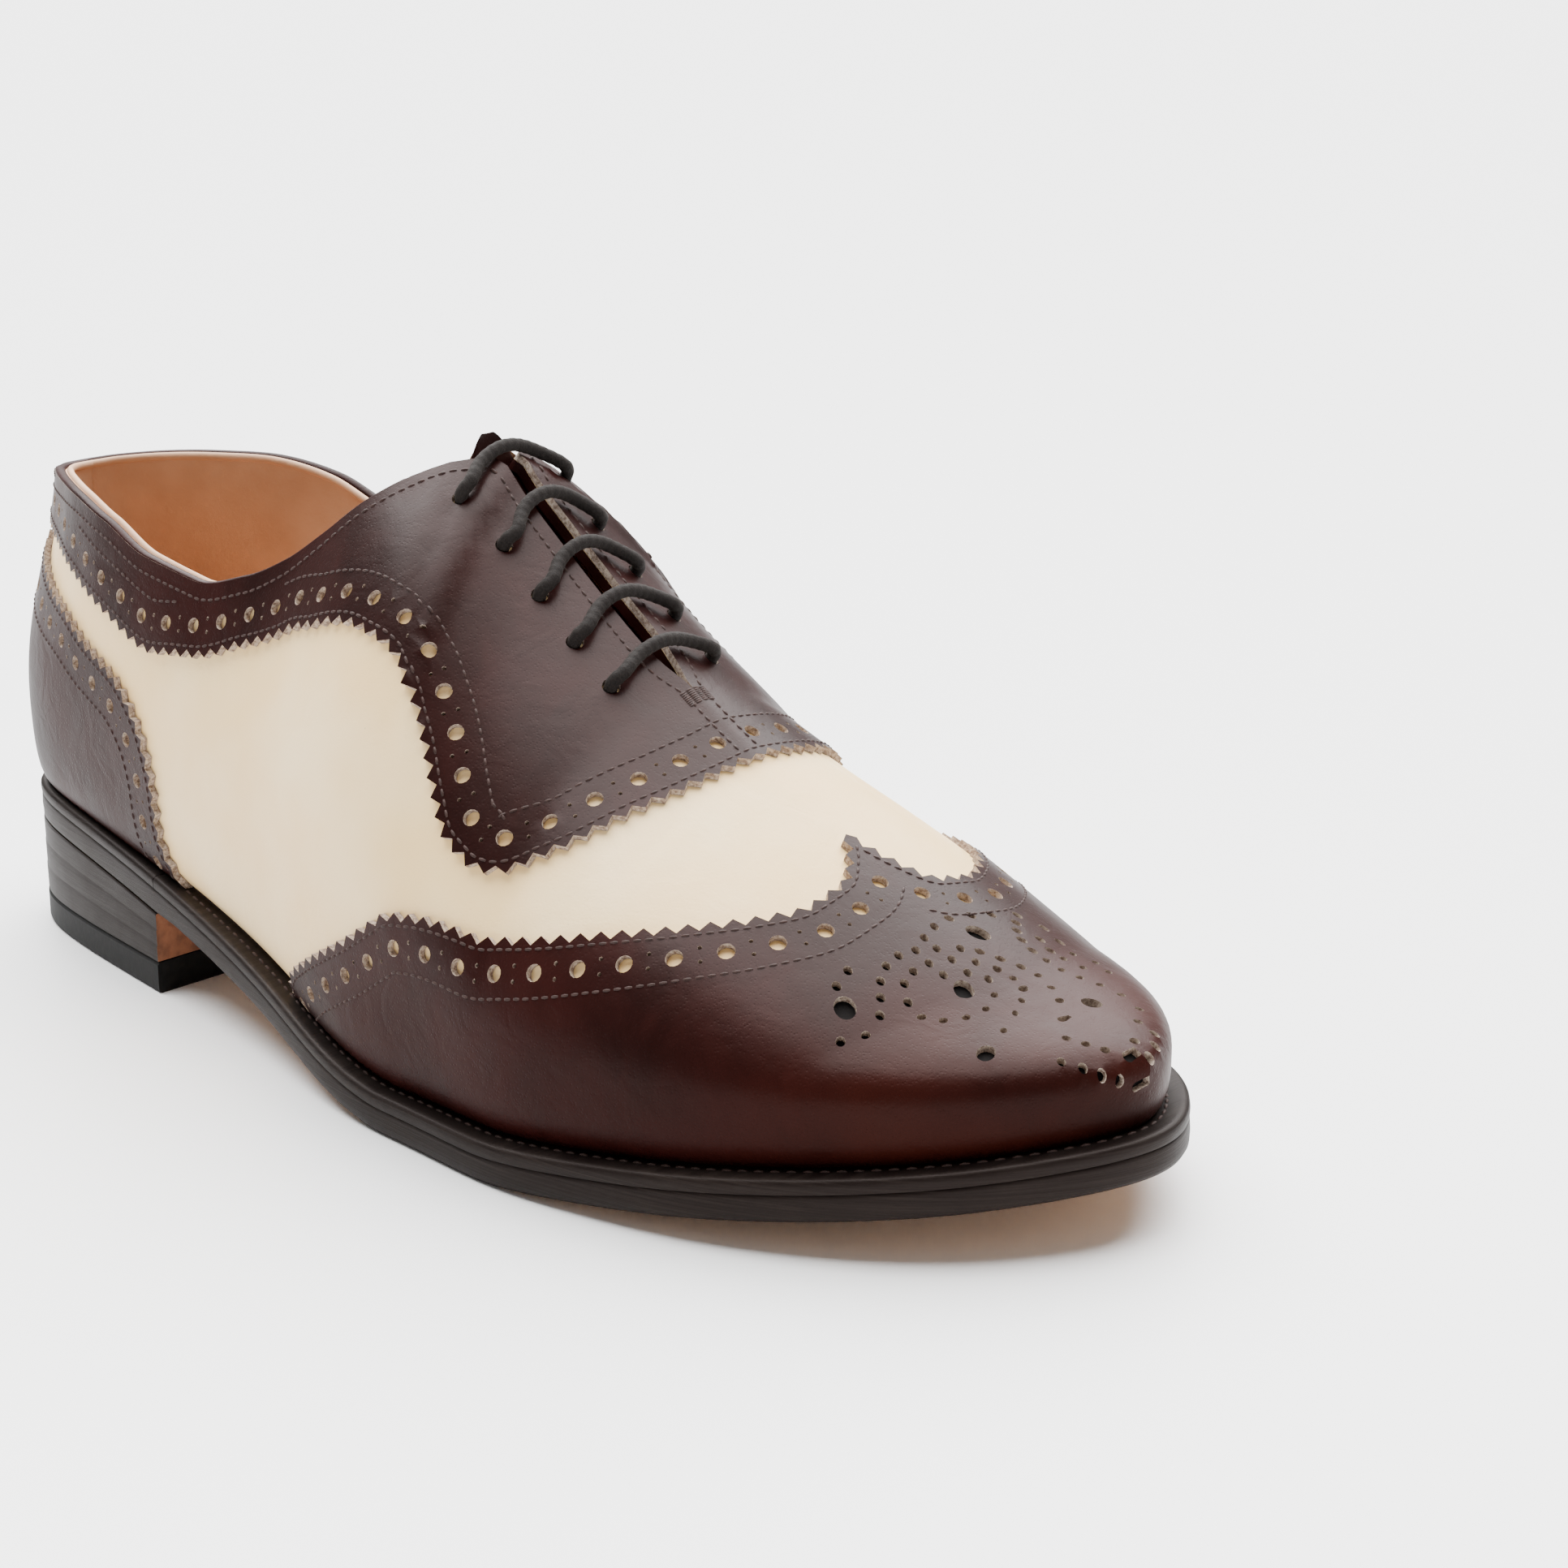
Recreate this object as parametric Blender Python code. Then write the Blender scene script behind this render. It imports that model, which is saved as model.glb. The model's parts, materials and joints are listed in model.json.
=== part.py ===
"""A right spectator shoe: a closed-lacing full brogue in cream and dark brown leather on a leather sole.

Metres, +Z up, toe to +X, outer side to -Y. The origin is under the middle of the sole, on the floor.
Every piece of the upper is worked out from one function of the last. A column runs from the feather
edge, where the upper meets the welt, out to the widest point and over to the top line or the ridge.
Columns are numbered by w: 0 at the back seam, -1 round the outer side to the toe, +1 round the inner side.
"""
import bpy
import bmesh
import numpy as np
from mathutils import Matrix, Vector

# Driving sizes
LENGTH = 0.302
BALL_WIDTH = 0.105
HEEL_WIDTH = 0.064
INSTEP_HEIGHT = 0.1045
HEEL_HEIGHT = 0.0242
HEEL_LENGTH = 0.0745
TOE_SPRING = 0.0112
OUTSOLE_THICKNESS = 0.0049
WELT_THICKNESS = 0.0027
TOP_PIECE_THICKNESS = 0.0066
HEEL_FLARE = 0.0008
WELT_WIDTH = 0.0072
WALL = 0.0020
OVERLAY_THICKNESS = 0.0012
TONGUE_THICKNESS = 0.0018
TONGUE_WIDTH = 0.052
TONGUE_RISE = 0.0075
INSOLE_RISE = 0.0022
BACK_TAB_THICKNESS = 0.0009
GAP = 0.0003
WELD = 0.000003
SLIT = 0.0044
EYELET_COUNT = 5
EYELET_DIAMETER = 0.0040
EYELET_INSET = 0.0134
FIRST_EYELET = 0.490
LAST_EYELET = 0.622
LACE_DIAMETER = 0.0028
LACE_ABOVE = 0.0008
LACE_BELOW = 0.0004

# Edges of the sole's pieces: their rounding, how far in their faces start, and the joint beside the heel
EDGE_ROUNDING = 0.0006
OUTSOLE_SHOULDER = 0.0025
OUTSOLE_BEVEL = 0.0045
WELT_BEVEL = 0.0005
WELT_FOOT = 0.0003
JOINT = 0.002
INSOLE_CLEARANCE = 0.0012
STACK_INSET = 0.0002
STACK_FLARE = HEEL_FLARE * 0.7
TOP_PIECE_BEVEL = 0.0005

# The tongue runs between these columns. Its points lie at these shares of its width from the middle, and
# its tip narrows by (share of the rise, share of the width).
TONGUE_FOOT = 0.632
TONGUE_TOP = 0.537
TONGUE_ROWS = 10
TONGUE_POINTS = np.array([0.0, 0.115, 0.202, 0.308, 0.404, 0.500])
TONGUE_TIP = ((0.5, 0.95), (0.9, 0.75), (1.0, 0.5))
TONGUE_CLEARANCE = 0.0004
TONGUE_SIDE_CLEARANCE = 0.0011

# Parts of the sole's length that stand flat on the floor, between the waist and the toe spring
FLAT_START = 0.556
FLAT_END = 0.656

# Outline of the sole: station along the length, centre line over the ball width, half width over the
# width there, which goes from the heel width to the ball width
STATION, CENTRE, HALF = 0, 1, 2
OUTLINE = np.array([
    (0.000, 0.010, 0.000),
    (0.033, 0.015, 0.358),
    (0.106, 0.017, 0.489),
    (0.215, -0.010, 0.526),
    (0.315, -0.043, 0.491),
    (0.414, -0.070, 0.452),
    (0.513, -0.076, 0.456),
    (0.596, -0.050, 0.468),
    (0.672, -0.022, 0.499),
    (0.735, 0.000, 0.500),
    (0.795, 0.014, 0.477),
    (0.851, 0.027, 0.430),
    (0.901, 0.038, 0.361),
    (0.944, 0.048, 0.271),
    (0.977, 0.058, 0.163),
    (1.000, 0.066, 0.000),
])

# Lower part of the upper, by column: how far the feather edge lies inside the sole's edge over the welt
# width, how far the widest point stands out from the feather edge, and how high it is, over the instep
COLUMN, INSET, BULGE, RISE = 0, 1, 2, 3
SKIRT = np.array([
    (0.00, 0.50, 0.018, 0.165),
    (0.10, 0.50, 0.024, 0.165),
    (0.20, 0.52, 0.030, 0.170),
    (0.30, 0.62, 0.034, 0.200),
    (0.40, 0.80, 0.036, 0.220),
    (0.50, 0.90, 0.040, 0.180),
    (0.60, 1.05, 0.042, 0.135),
    (0.70, 1.10, 0.040, 0.120),
    (0.80, 1.10, 0.034, 0.105),
    (0.90, 1.05, 0.028, 0.095),
    (1.00, 1.00, 0.026, 0.095),
])

# Top line and ridge, by column: station, half width over the ball width, height above the welt over the
# instep height, and how steeply the section falls away there, in degrees
TOP_STATION, TOP_HALF, TOP_HEIGHT, TOP_FALL = 1, 2, 3, 4
TOP = np.array([
    (0.000, 0.013, 0.000, 0.631, 82),
    (0.050, 0.017, 0.044, 0.633, 82),
    (0.100, 0.031, 0.091, 0.638, 82),
    (0.150, 0.056, 0.137, 0.646, 82),
    (0.200, 0.093, 0.190, 0.655, 82),
    (0.250, 0.139, 0.244, 0.663, 82),
    (0.300, 0.189, 0.278, 0.654, 80),
    (0.350, 0.242, 0.290, 0.625, 78),
    (0.400, 0.295, 0.284, 0.623, 74),
    (0.440, 0.341, 0.263, 0.670, 68),
    (0.470, 0.377, 0.238, 0.734, 60),
    (0.490, 0.406, 0.213, 0.806, 52),
    (0.508, 0.434, 0.173, 0.887, 44),
    (0.522, 0.460, 0.115, 0.949, 36),
    (0.534, 0.482, 0.055, 0.985, 30),
    (0.545, 0.498, 0.008, 0.992, 27),
    (0.555, 0.513, 0.000, 0.958, 26),
    (0.570, 0.546, 0.000, 0.891, 24),
    (0.585, 0.589, 0.000, 0.791, 20),
    (0.600, 0.639, 0.000, 0.680, 14),
    (0.606, 0.652, 0.000, 0.654, 10),
    (0.630, 0.689, 0.000, 0.578, 5),
    (0.660, 0.735, 0.000, 0.495, 2),
    (0.690, 0.785, 0.000, 0.406, 0),
    (0.720, 0.834, 0.000, 0.315, 0),
    (0.745, 0.874, 0.000, 0.247, 0),
    (0.760, 0.891, 0.000, 0.218, 0),
    (1.000, 0.891, 0.000, 0.218, 0),
])
SLIT_OPENS = 0.525
THROAT = 0.606
RIDGE_END = 0.760
RIDGE_CENTRE = 0.014
RIDGE_SWING = 0.035

# Edges of the overlays, by column, as shares of the way up the column from the feather edge. The lower
# line is the counter's edge, then the wing cap's edge up to its shoulder. The upper line is the facing's
# edge, then the edge of the wing cap's point. Beyond the wing they only space the mesh over the toe.
COUNTER_END = 0.348
WING_START = 0.463
FACING_END = 0.638
WING_POINT = 0.682
WING_SHOULDER = 0.700
LOWER_LINE = np.array([
    (0.000, 0.840),
    (0.050, 0.822),
    (0.100, 0.780),
    (0.150, 0.722),
    (0.203, 0.663),
    (0.265, 0.594),
    (0.307, 0.550),
    (0.325, 0.480),
    (0.334, 0.390),
    (0.340, 0.250),
    (COUNTER_END, 0.080),
    (0.375, 0.220),
    (0.405, 0.300),
    (0.435, 0.220),
    (WING_START, 0.090),
    (0.497, 0.194),
    (0.527, 0.245),
    (0.583, 0.338),
    (0.633, 0.425),
    (0.662, 0.490),
    (WING_POINT, 0.590),
    (0.692, 0.680),
    (WING_SHOULDER, 0.800),
    (0.720, 0.720),
    (0.760, 0.600),
    (0.820, 0.520),
    (1.000, 0.500),
])
UPPER_LINE = np.array([
    (0.000, 0.880),
    (0.100, 0.855),
    (0.195, 0.825),
    (0.247, 0.781),
    (0.300, 0.744),
    (0.343, 0.731),
    (0.382, 0.775),
    (0.417, 0.819),
    (0.448, 0.838),
    (0.478, 0.831),
    (0.512, 0.756),
    (0.537, 0.650),
    (0.557, 0.550),
    (0.575, 0.456),
    (0.588, 0.456),
    (0.603, 0.525),
    (0.615, 0.610),
    (0.625, 0.705),
    (0.633, 0.810),
    (FACING_END, 0.940),
    (0.650, 0.985),
    (WING_POINT, 0.995),
    (0.692, 0.910),
    (WING_SHOULDER, 0.815),
    (0.720, 0.820),
    (0.760, 0.800),
    (1.000, 0.780),
])
BACK_TAB_HALF = 0.06

# Mesh columns on each side, with one on each corner of the top line and of the overlays, and the rows
# below the lower line, between the lines, and above the upper line
CORNERS = (0, 0.307, COUNTER_END, WING_START, 0.55, THROAT, FACING_END, WING_POINT, WING_SHOULDER, RIDGE_END, 1)
STEPS = (8, 3, 4, 6, 4, 3, 3, 2, 3, 7)
COLUMNS = np.concatenate([
    np.linspace(start, end, steps + 1)[:-1] for start, end, steps in zip(CORNERS, CORNERS[1:], STEPS)
] + [[1.0]])
LOWER_ROWS = 4
MIDDLE_ROWS = 3
UPPER_ROWS = 3


def smooth_curve(xs, ys):
    """A natural cubic spline through (xs, ys), as a function of arrays."""
    xs = np.asarray(xs, float)
    ys = np.asarray(ys, float)
    step = np.diff(xs)
    count = len(xs)
    matrix = np.eye(count)
    right = np.zeros(count)
    for i in range(1, count - 1):
        matrix[i, i - 1:i + 2] = step[i - 1], 2 * (step[i - 1] + step[i]), step[i]
        right[i] = 6 * ((ys[i + 1] - ys[i]) / step[i] - (ys[i] - ys[i - 1]) / step[i - 1])
    bend = np.linalg.solve(matrix, right)

    def at(x):
        x = np.clip(x, xs[0], xs[-1])
        i = np.clip(np.searchsorted(xs, x, side="right") - 1, 0, count - 2)
        h = step[i]
        a = (xs[i + 1] - x) / h
        b = (x - xs[i]) / h
        cubic = (a ** 3 - a) * bend[i] + (b ** 3 - b) * bend[i + 1]
        return a * ys[i] + b * ys[i + 1] + cubic * h * h / 6

    return at


def steady_curve(xs, ys):
    """A smooth curve through (xs, ys) that never overshoots its points."""
    xs = np.asarray(xs, float)
    ys = np.asarray(ys, float)
    step = np.diff(xs)
    slope = np.diff(ys) / step
    inner = np.zeros(len(xs) - 2)
    same = slope[:-1] * slope[1:] > 0
    inner[same] = 2 / (1 / slope[:-1][same] + 1 / slope[1:][same])
    tangent = np.concatenate([slope[:1], inner, slope[-1:]])

    def at(x):
        x = np.clip(x, xs[0], xs[-1])
        i = np.clip(np.searchsorted(xs, x, side="right") - 1, 0, len(xs) - 2)
        t = (x - xs[i]) / step[i]
        rise = t * t * (3 - 2 * t)
        start = t * (1 - t) ** 2 * tangent[i] * step[i]
        end = -t * t * (1 - t) * tangent[i + 1] * step[i]
        return ys[i] + (ys[i + 1] - ys[i]) * rise + start + end

    return at


def ease(t):
    t = np.clip(t, 0, 1)
    return t * t * (3 - 2 * t)


def unit(vectors):
    return vectors / np.maximum(np.linalg.norm(vectors, axis=-1, keepdims=True), 1e-12)


def sole_bottom(x):
    """Height of the outsole's underside: the arch up to the heel, a flat tread, and the toe spring."""
    arch = ease(np.clip((FLAT_START * LENGTH - x) / (FLAT_START * LENGTH), 0, 1) ** 0.72)
    spring = np.clip((x - FLAT_END * LENGTH) / ((1 - FLAT_END) * LENGTH), 0, 1) ** 1.2
    return HEEL_HEIGHT * arch + TOE_SPRING * spring


def welt_top(x):
    return sole_bottom(x) + OUTSOLE_THICKNESS + GAP + WELT_THICKNESS


def girth(station):
    return HEEL_WIDTH + (BALL_WIDTH - HEEL_WIDTH) * ease((station - 0.2) / 0.45)


def outline_curve():
    """Half the closed outline's y by column, periodic, so that heel and toe are round."""
    station = OUTLINE[:, STATION]
    column = np.arccos(1 - 2 * station) / np.pi
    centre = OUTLINE[:, CENTRE] * BALL_WIDTH
    half = OUTLINE[:, HALF] * girth(station)
    w = np.concatenate([-column[::-1], column[1:-1]])
    y = np.concatenate([(centre - half)[::-1], (centre + half)[1:-1]])
    return smooth_curve(np.concatenate([w - 2, w, w + 2]), np.tile(y, 3))


OUTLINE_Y = outline_curve()


def plan(w, inset=0.0):
    """Plan of the sole's edge at columns w, moved in by inset, with the outward normal."""
    def edge(at):
        return np.stack([LENGTH * (1 - np.cos(np.pi * at)) / 2, OUTLINE_Y(at)], -1)

    w = np.asarray(w, float)
    along = unit(edge(w + 1e-4) - edge(w - 1e-4))
    out = np.stack([-along[:, 1], along[:, 0]], -1)
    return edge(w) - out * np.reshape(inset, (-1, 1)), out


INSET_AT = smooth_curve(SKIRT[:, COLUMN], SKIRT[:, INSET])
BULGE_AT = smooth_curve(SKIRT[:, COLUMN], SKIRT[:, BULGE])
RISE_AT = smooth_curve(SKIRT[:, COLUMN], SKIRT[:, RISE])
STATION_AT = steady_curve(TOP[:, COLUMN], TOP[:, TOP_STATION])
HALF_AT = steady_curve(TOP[:, COLUMN], TOP[:, TOP_HALF])
HEIGHT_AT = steady_curve(TOP[:, COLUMN], TOP[:, TOP_HEIGHT])
FALL_AT = steady_curve(TOP[:, COLUMN], TOP[:, TOP_FALL])


def feather_inset(w):
    return INSET_AT(np.abs(w)) * WELT_WIDTH


def ridge_centre(station):
    """The ridge's y: it swings to the inner side on its way to the toe."""
    return (RIDGE_CENTRE + RIDGE_SWING * ease((station - 0.45) / 0.5)) * BALL_WIDTH


def top_edge(w):
    """The top line, the slit's edge or the ridge at columns w."""
    side = np.sign(w)
    u = np.abs(w)
    station = STATION_AT(u)
    slit = SLIT / 2 * ((u > SLIT_OPENS) & (u < THROAT - 1e-6))
    half = np.maximum(HALF_AT(u) * BALL_WIDTH, slit)
    x = station * LENGTH
    return np.stack([x, ridge_centre(station) + side * half, welt_top(x) + HEIGHT_AT(u) * INSTEP_HEIGHT], -1)


def bezier(ends, t):
    a, b, c, d = (end[:, None, :] for end in ends)
    t = t[None, :, None]
    return (1 - t) ** 3 * a + 3 * (1 - t) ** 2 * t * b + 3 * (1 - t) * t * t * c + t ** 3 * d


def last_surface(w, v):
    """Points of the upper's outer face: a row per column w, at the shares v of the way up each column. The
    shares are one list for all columns, or a list for each."""
    v = np.broadcast_to(v, (len(w), np.shape(v)[-1]))
    u = np.abs(w)
    foot, out = plan(w, feather_inset(w))
    flat_out = np.column_stack([out, np.zeros(len(w))])
    feather = np.column_stack([foot, welt_top(foot[:, 0]) + GAP])
    rise = (RISE_AT(u) * INSTEP_HEIGHT)[:, None]
    bulge = (BULGE_AT(u) * BALL_WIDTH)[:, None]
    up = np.array([[0.0, 0.0, 1.0]])
    widest = feather + flat_out * bulge + up * rise
    top = top_edge(w)
    heading = unit(flat_out * 0.03 + (widest - top) * np.array([[1.0, 1.0, 0.0]]))
    fall = np.radians(FALL_AT(u))[:, None]
    ridge = top_edge(np.sign(w + 1e-9) * np.minimum(u + 0.004, 0.7599))
    before = top_edge(np.sign(w + 1e-9) * np.minimum(u - 0.004, 0.7519))
    slope = ((ridge - before)[:, 2] / np.maximum((ridge - before)[:, 0], 1e-6))[:, None]
    on_ridge = ease((u - 0.53) / 0.05)[:, None]
    drop = heading * np.cos(fall) - up * np.sin(fall) + up * slope * heading[:, :1] * np.cos(fall) * on_ridge
    reach = np.linalg.norm(widest - top, axis=-1, keepdims=True)
    height = (top - widest)[:, 2:]
    full = 0.14 * ease((u - 0.55) / 0.2)[:, None]
    lower = (feather, feather + (flat_out * 0.75 + up * 0.5) * bulge * 1.2, widest - up * rise * 0.5, widest)
    upper = (widest, widest + up * height * (0.42 + full), top + unit(drop) * reach * (0.38 + full), top)
    t = np.linspace(0, 1, 41)
    line = np.concatenate([bezier(lower, t)[:, :-1], bezier(upper, t)], 1)
    along = np.concatenate([np.zeros((len(w), 1)), np.cumsum(np.linalg.norm(np.diff(line, axis=1), axis=2), 1)], 1)
    along /= along[:, -1:]
    return np.stack([
        np.stack([np.interp(one, share, points[:, axis]) for axis in range(3)], -1)
        for one, share, points in zip(v, along, line)
    ])


def round_toe(w):
    """The same column, numbered from -1 to 1 again where w has passed the toe."""
    return (w + 1) % 2 - 1


def upper_grid():
    """Columns all the way round, their points on the upper's outer face, and the outward normals."""
    w = np.concatenate([-COLUMNS[::-1], COLUMNS[1:]])
    lower = steady_curve(*LOWER_LINE.T)(np.abs(w))[:, None]
    upper = steady_curve(*UPPER_LINE.T)(np.abs(w))[:, None]
    rows = np.concatenate([
        lower * np.linspace(0, 1, LOWER_ROWS + 1)[:-1] ** 1.15,
        lower + (upper - lower) * np.linspace(0, 1, MIDDLE_ROWS + 1)[:-1],
        upper + (1 - upper) * np.linspace(0, 1, UPPER_ROWS + 1),
    ], 1)
    points = last_surface(w, rows)
    nearby = 0.002
    along = last_surface(round_toe(w + nearby), rows) - last_surface(round_toe(w - nearby), rows)
    up = last_surface(w, np.minimum(rows + 0.01, 1)) - last_surface(w, np.maximum(rows - 0.01, 0))
    normals = unit(np.cross(up, along))
    normals[:, 0, 2] = 0
    normals[:, 0] = unit(normals[:, 0])
    closed = np.abs(w) > THROAT - 1e-6
    before = top_edge(np.minimum(np.abs(w), RIDGE_END) - 0.004)
    ahead = top_edge(np.minimum(np.abs(w), RIDGE_END) - 0.001)
    rise = (ahead - before)[:, 2] / (ahead - before)[:, 0]
    over = unit(np.stack([-rise, 0 * rise, 1 + 0 * rise], -1))
    normals[closed, -1] = over[closed]
    return w, points, normals


GRID_W, GRID_POINTS, GRID_NORMALS = upper_grid()


def grid_split():
    """For each cell of the grid, whether the diagonal from its first corner stands out more than the other.
    Every wall over the grid is split the same way, so that no wall's facets cut into the next wall."""
    first = GRID_POINTS[:-1, :-1] + GRID_POINTS[1:, 1:]
    second = GRID_POINTS[1:, :-1] + GRID_POINTS[:-1, 1:]
    return ((first - second) * GRID_NORMALS[:-1, :-1]).sum(-1) > 0


GRID_SPLIT = grid_split()


# Solids start here
def clear_scene():
    for item in list(bpy.data.objects):
        bpy.data.objects.remove(item, do_unlink=True)


def leather(name, colour, roughness, metallic=0.0):
    material = bpy.data.materials.new(name)
    material.use_nodes = True
    shader = material.node_tree.nodes["Principled BSDF"]
    shader.inputs["Base Color"].default_value = (*colour, 1)
    shader.inputs["Roughness"].default_value = roughness
    shader.inputs["Metallic"].default_value = metallic
    material.diffuse_color = (*colour, 1)
    return material


def sole_middle():
    """Plan of the middle of the sole's box, which becomes the origin. The top piece stands out at the back."""
    w = np.linspace(-1, 1, 801)
    edge, _ = plan(w, -HEEL_FLARE * (np.abs(w) < HEEL_COLUMN))
    return np.array([*(edge.min(0) + edge.max(0)) / 2, 0.0])


HEEL_COLUMN = np.arccos(1 - 2 * HEEL_LENGTH / LENGTH) / np.pi
ORIGIN = sole_middle()


def solid(name, points, faces, material):
    """An object of these points and faces, its coincident points made one and its faces turned outwards."""
    body = bmesh.new()
    corners = [body.verts.new(point) for point in np.asarray(points, float).reshape(-1, 3) - ORIGIN]
    for face in faces:
        body.faces.new([corners[i] for i in face])
    bmesh.ops.remove_doubles(body, verts=body.verts, dist=WELD)
    bmesh.ops.dissolve_degenerate(body, edges=body.edges, dist=WELD)
    bmesh.ops.recalc_face_normals(body, faces=body.faces)
    mesh = bpy.data.meshes.new(name)
    body.to_mesh(mesh)
    body.free()
    mesh.materials.append(material)
    mesh.shade_smooth()
    mesh.set_sharp_from_angle(angle=np.radians(40))
    item = bpy.data.objects.new(name, mesh)
    bpy.context.scene.collection.objects.link(item)
    return item


def shell(name, covers, inner, outer, material):
    """A wall over part of the upper, from offset inner to outer. covers(u, row) says which cells of the grid
    it covers, by the cell's column number without its side and its row. Its rim runs along their edge."""
    count, rows = GRID_POINTS.shape[:2]
    middle = np.abs(GRID_W[:-1] + GRID_W[1:]) / 2
    cell = covers(middle[:, None], np.arange(rows - 1)[None, :]) & np.ones((count - 1, rows - 1), bool)
    faced = np.stack([GRID_POINTS + GRID_NORMALS * offset for offset in (outer, inner)])
    faced[:, :, 0, 2] = welt_top(faced[:, :, 0, 0]) + GAP
    points = faced.reshape(-1, 3)
    back = count * rows

    def at(column, row):
        return column * rows + row

    def covered(column, row):
        return 0 <= row < rows - 1 and cell[column % (count - 1), row]

    faces = []
    for j, i in zip(*np.nonzero(cell)):
        quad = [at(j, i), at(j + 1, i), at(j + 1, i + 1), at(j, i + 1)]
        a, b, c, d = quad if GRID_SPLIT[j, i] else quad[1:] + quad[:1]
        for triangle in ([a, b, c], [a, c, d]):
            faces.append(triangle)
            faces.append([back + corner for corner in reversed(triangle)])
        on_ridge = i == rows - 2 and middle[j] > THROAT
        sides = (
            (quad[0], quad[1], covered(j, i - 1)),
            (quad[1], quad[2], covered(j + 1, i)),
            (quad[2], quad[3], covered(j, i + 1) or on_ridge),
            (quad[3], quad[0], covered(j - 1, i)),
        )
        faces += [[b, a, back + a, back + b] for a, b, shared in sides if not shared]
    used = sorted({corner for face in faces for corner in face})
    place = {corner: k for k, corner in enumerate(used)}
    return solid(name, points[used], [[place[corner] for corner in face] for face in faces], material)


def eyelets():
    """Each eyelet's centre and normal on the upper's outer face, a place halfway to the slit, and the slit's
    edge there. They go from the top pair down, outer side first."""
    fine = np.linspace(SLIT_OPENS, THROAT, 400)
    stations = np.linspace(FIRST_EYELET, LAST_EYELET, EYELET_COUNT)
    found = []
    for u in np.interp(stations, STATION_AT(fine), fine):
        pair = []
        for side in (-1, 1):
            w = np.array([side * u])
            column = last_surface(w, np.linspace(0, 1, 200))[0]
            length = np.linalg.norm(np.diff(column, axis=0), axis=1).sum()
            v = 1 - (EYELET_INSET - SLIT / 2) / length
            here = last_surface(w, np.array([v - 0.01, v, v + 0.01, (1 + v) / 2, 1.0]))[0]
            beside = last_surface(w + 0.004, np.array([v]))[0, 0] - last_surface(w - 0.004, np.array([v]))[0, 0]
            normal = unit(np.cross(here[2] - here[0], beside))
            pair.append((here[1], normal, here[3], here[4]))
        found.append(pair)
    return found


EYELETS = eyelets()


def eyelet_cutter():
    """Ten short rods through the upper and the facing."""
    body = bmesh.new()
    reach = WALL + OVERLAY_THICKNESS + 0.006
    for pair in EYELETS:
        for centre, normal, _, _ in pair:
            turn = turned_to(normal, centre - ORIGIN)
            bmesh.ops.create_cone(body, cap_ends=True, segments=8, radius1=EYELET_DIAMETER / 2,
                                  radius2=EYELET_DIAMETER / 2, depth=2 * reach, matrix=turn)
    mesh = bpy.data.meshes.new("eyelet_cutter")
    body.to_mesh(mesh)
    body.free()
    cutter = bpy.data.objects.new("eyelet_cutter", mesh)
    bpy.context.scene.collection.objects.link(cutter)
    cutter.hide_render = True
    cutter.display_type = "WIRE"
    return cutter


def turned_to(direction, place):
    """The matrix that moves a piece to a place and turns its z axis to a direction."""
    turn = Vector(direction).to_track_quat("Z", "Y").to_matrix().to_4x4()
    return Matrix.Translation(Vector(place)) @ turn


def cut(item, cutter):
    modifier = item.modifiers.new("eyelets", "BOOLEAN")
    modifier.operation = "DIFFERENCE"
    modifier.object = cutter


def upper_pieces(cream, brown):
    """The hollow upper and the brown overlays on it."""
    upper = shell("upper", lambda u, row: row >= 0, -WALL, 0.0, cream)
    low, high = GAP, GAP + OVERLAY_THICKNESS
    above = LOWER_ROWS + MIDDLE_ROWS
    shell("heel_counter", lambda u, row: (u < COUNTER_END) & (row < LOWER_ROWS), low, high, brown)

    def wing(u, row):
        point = (u > WING_POINT) & (row >= above)
        return (u > WING_START) & (row < LOWER_ROWS) | (u > WING_SHOULDER) | point

    shell("wing_cap", wing, low, high, brown)
    facing = shell("facing", lambda u, row: (u < FACING_END) & (row >= above), low, high, brown)
    low = high + GAP
    shell("back_tab", lambda u, row: (u < BACK_TAB_HALF) & (row >= above), low, low + BACK_TAB_THICKNESS, brown)
    cutter = eyelet_cutter()
    cut(upper, cutter)
    cut(facing, cutter)


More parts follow.
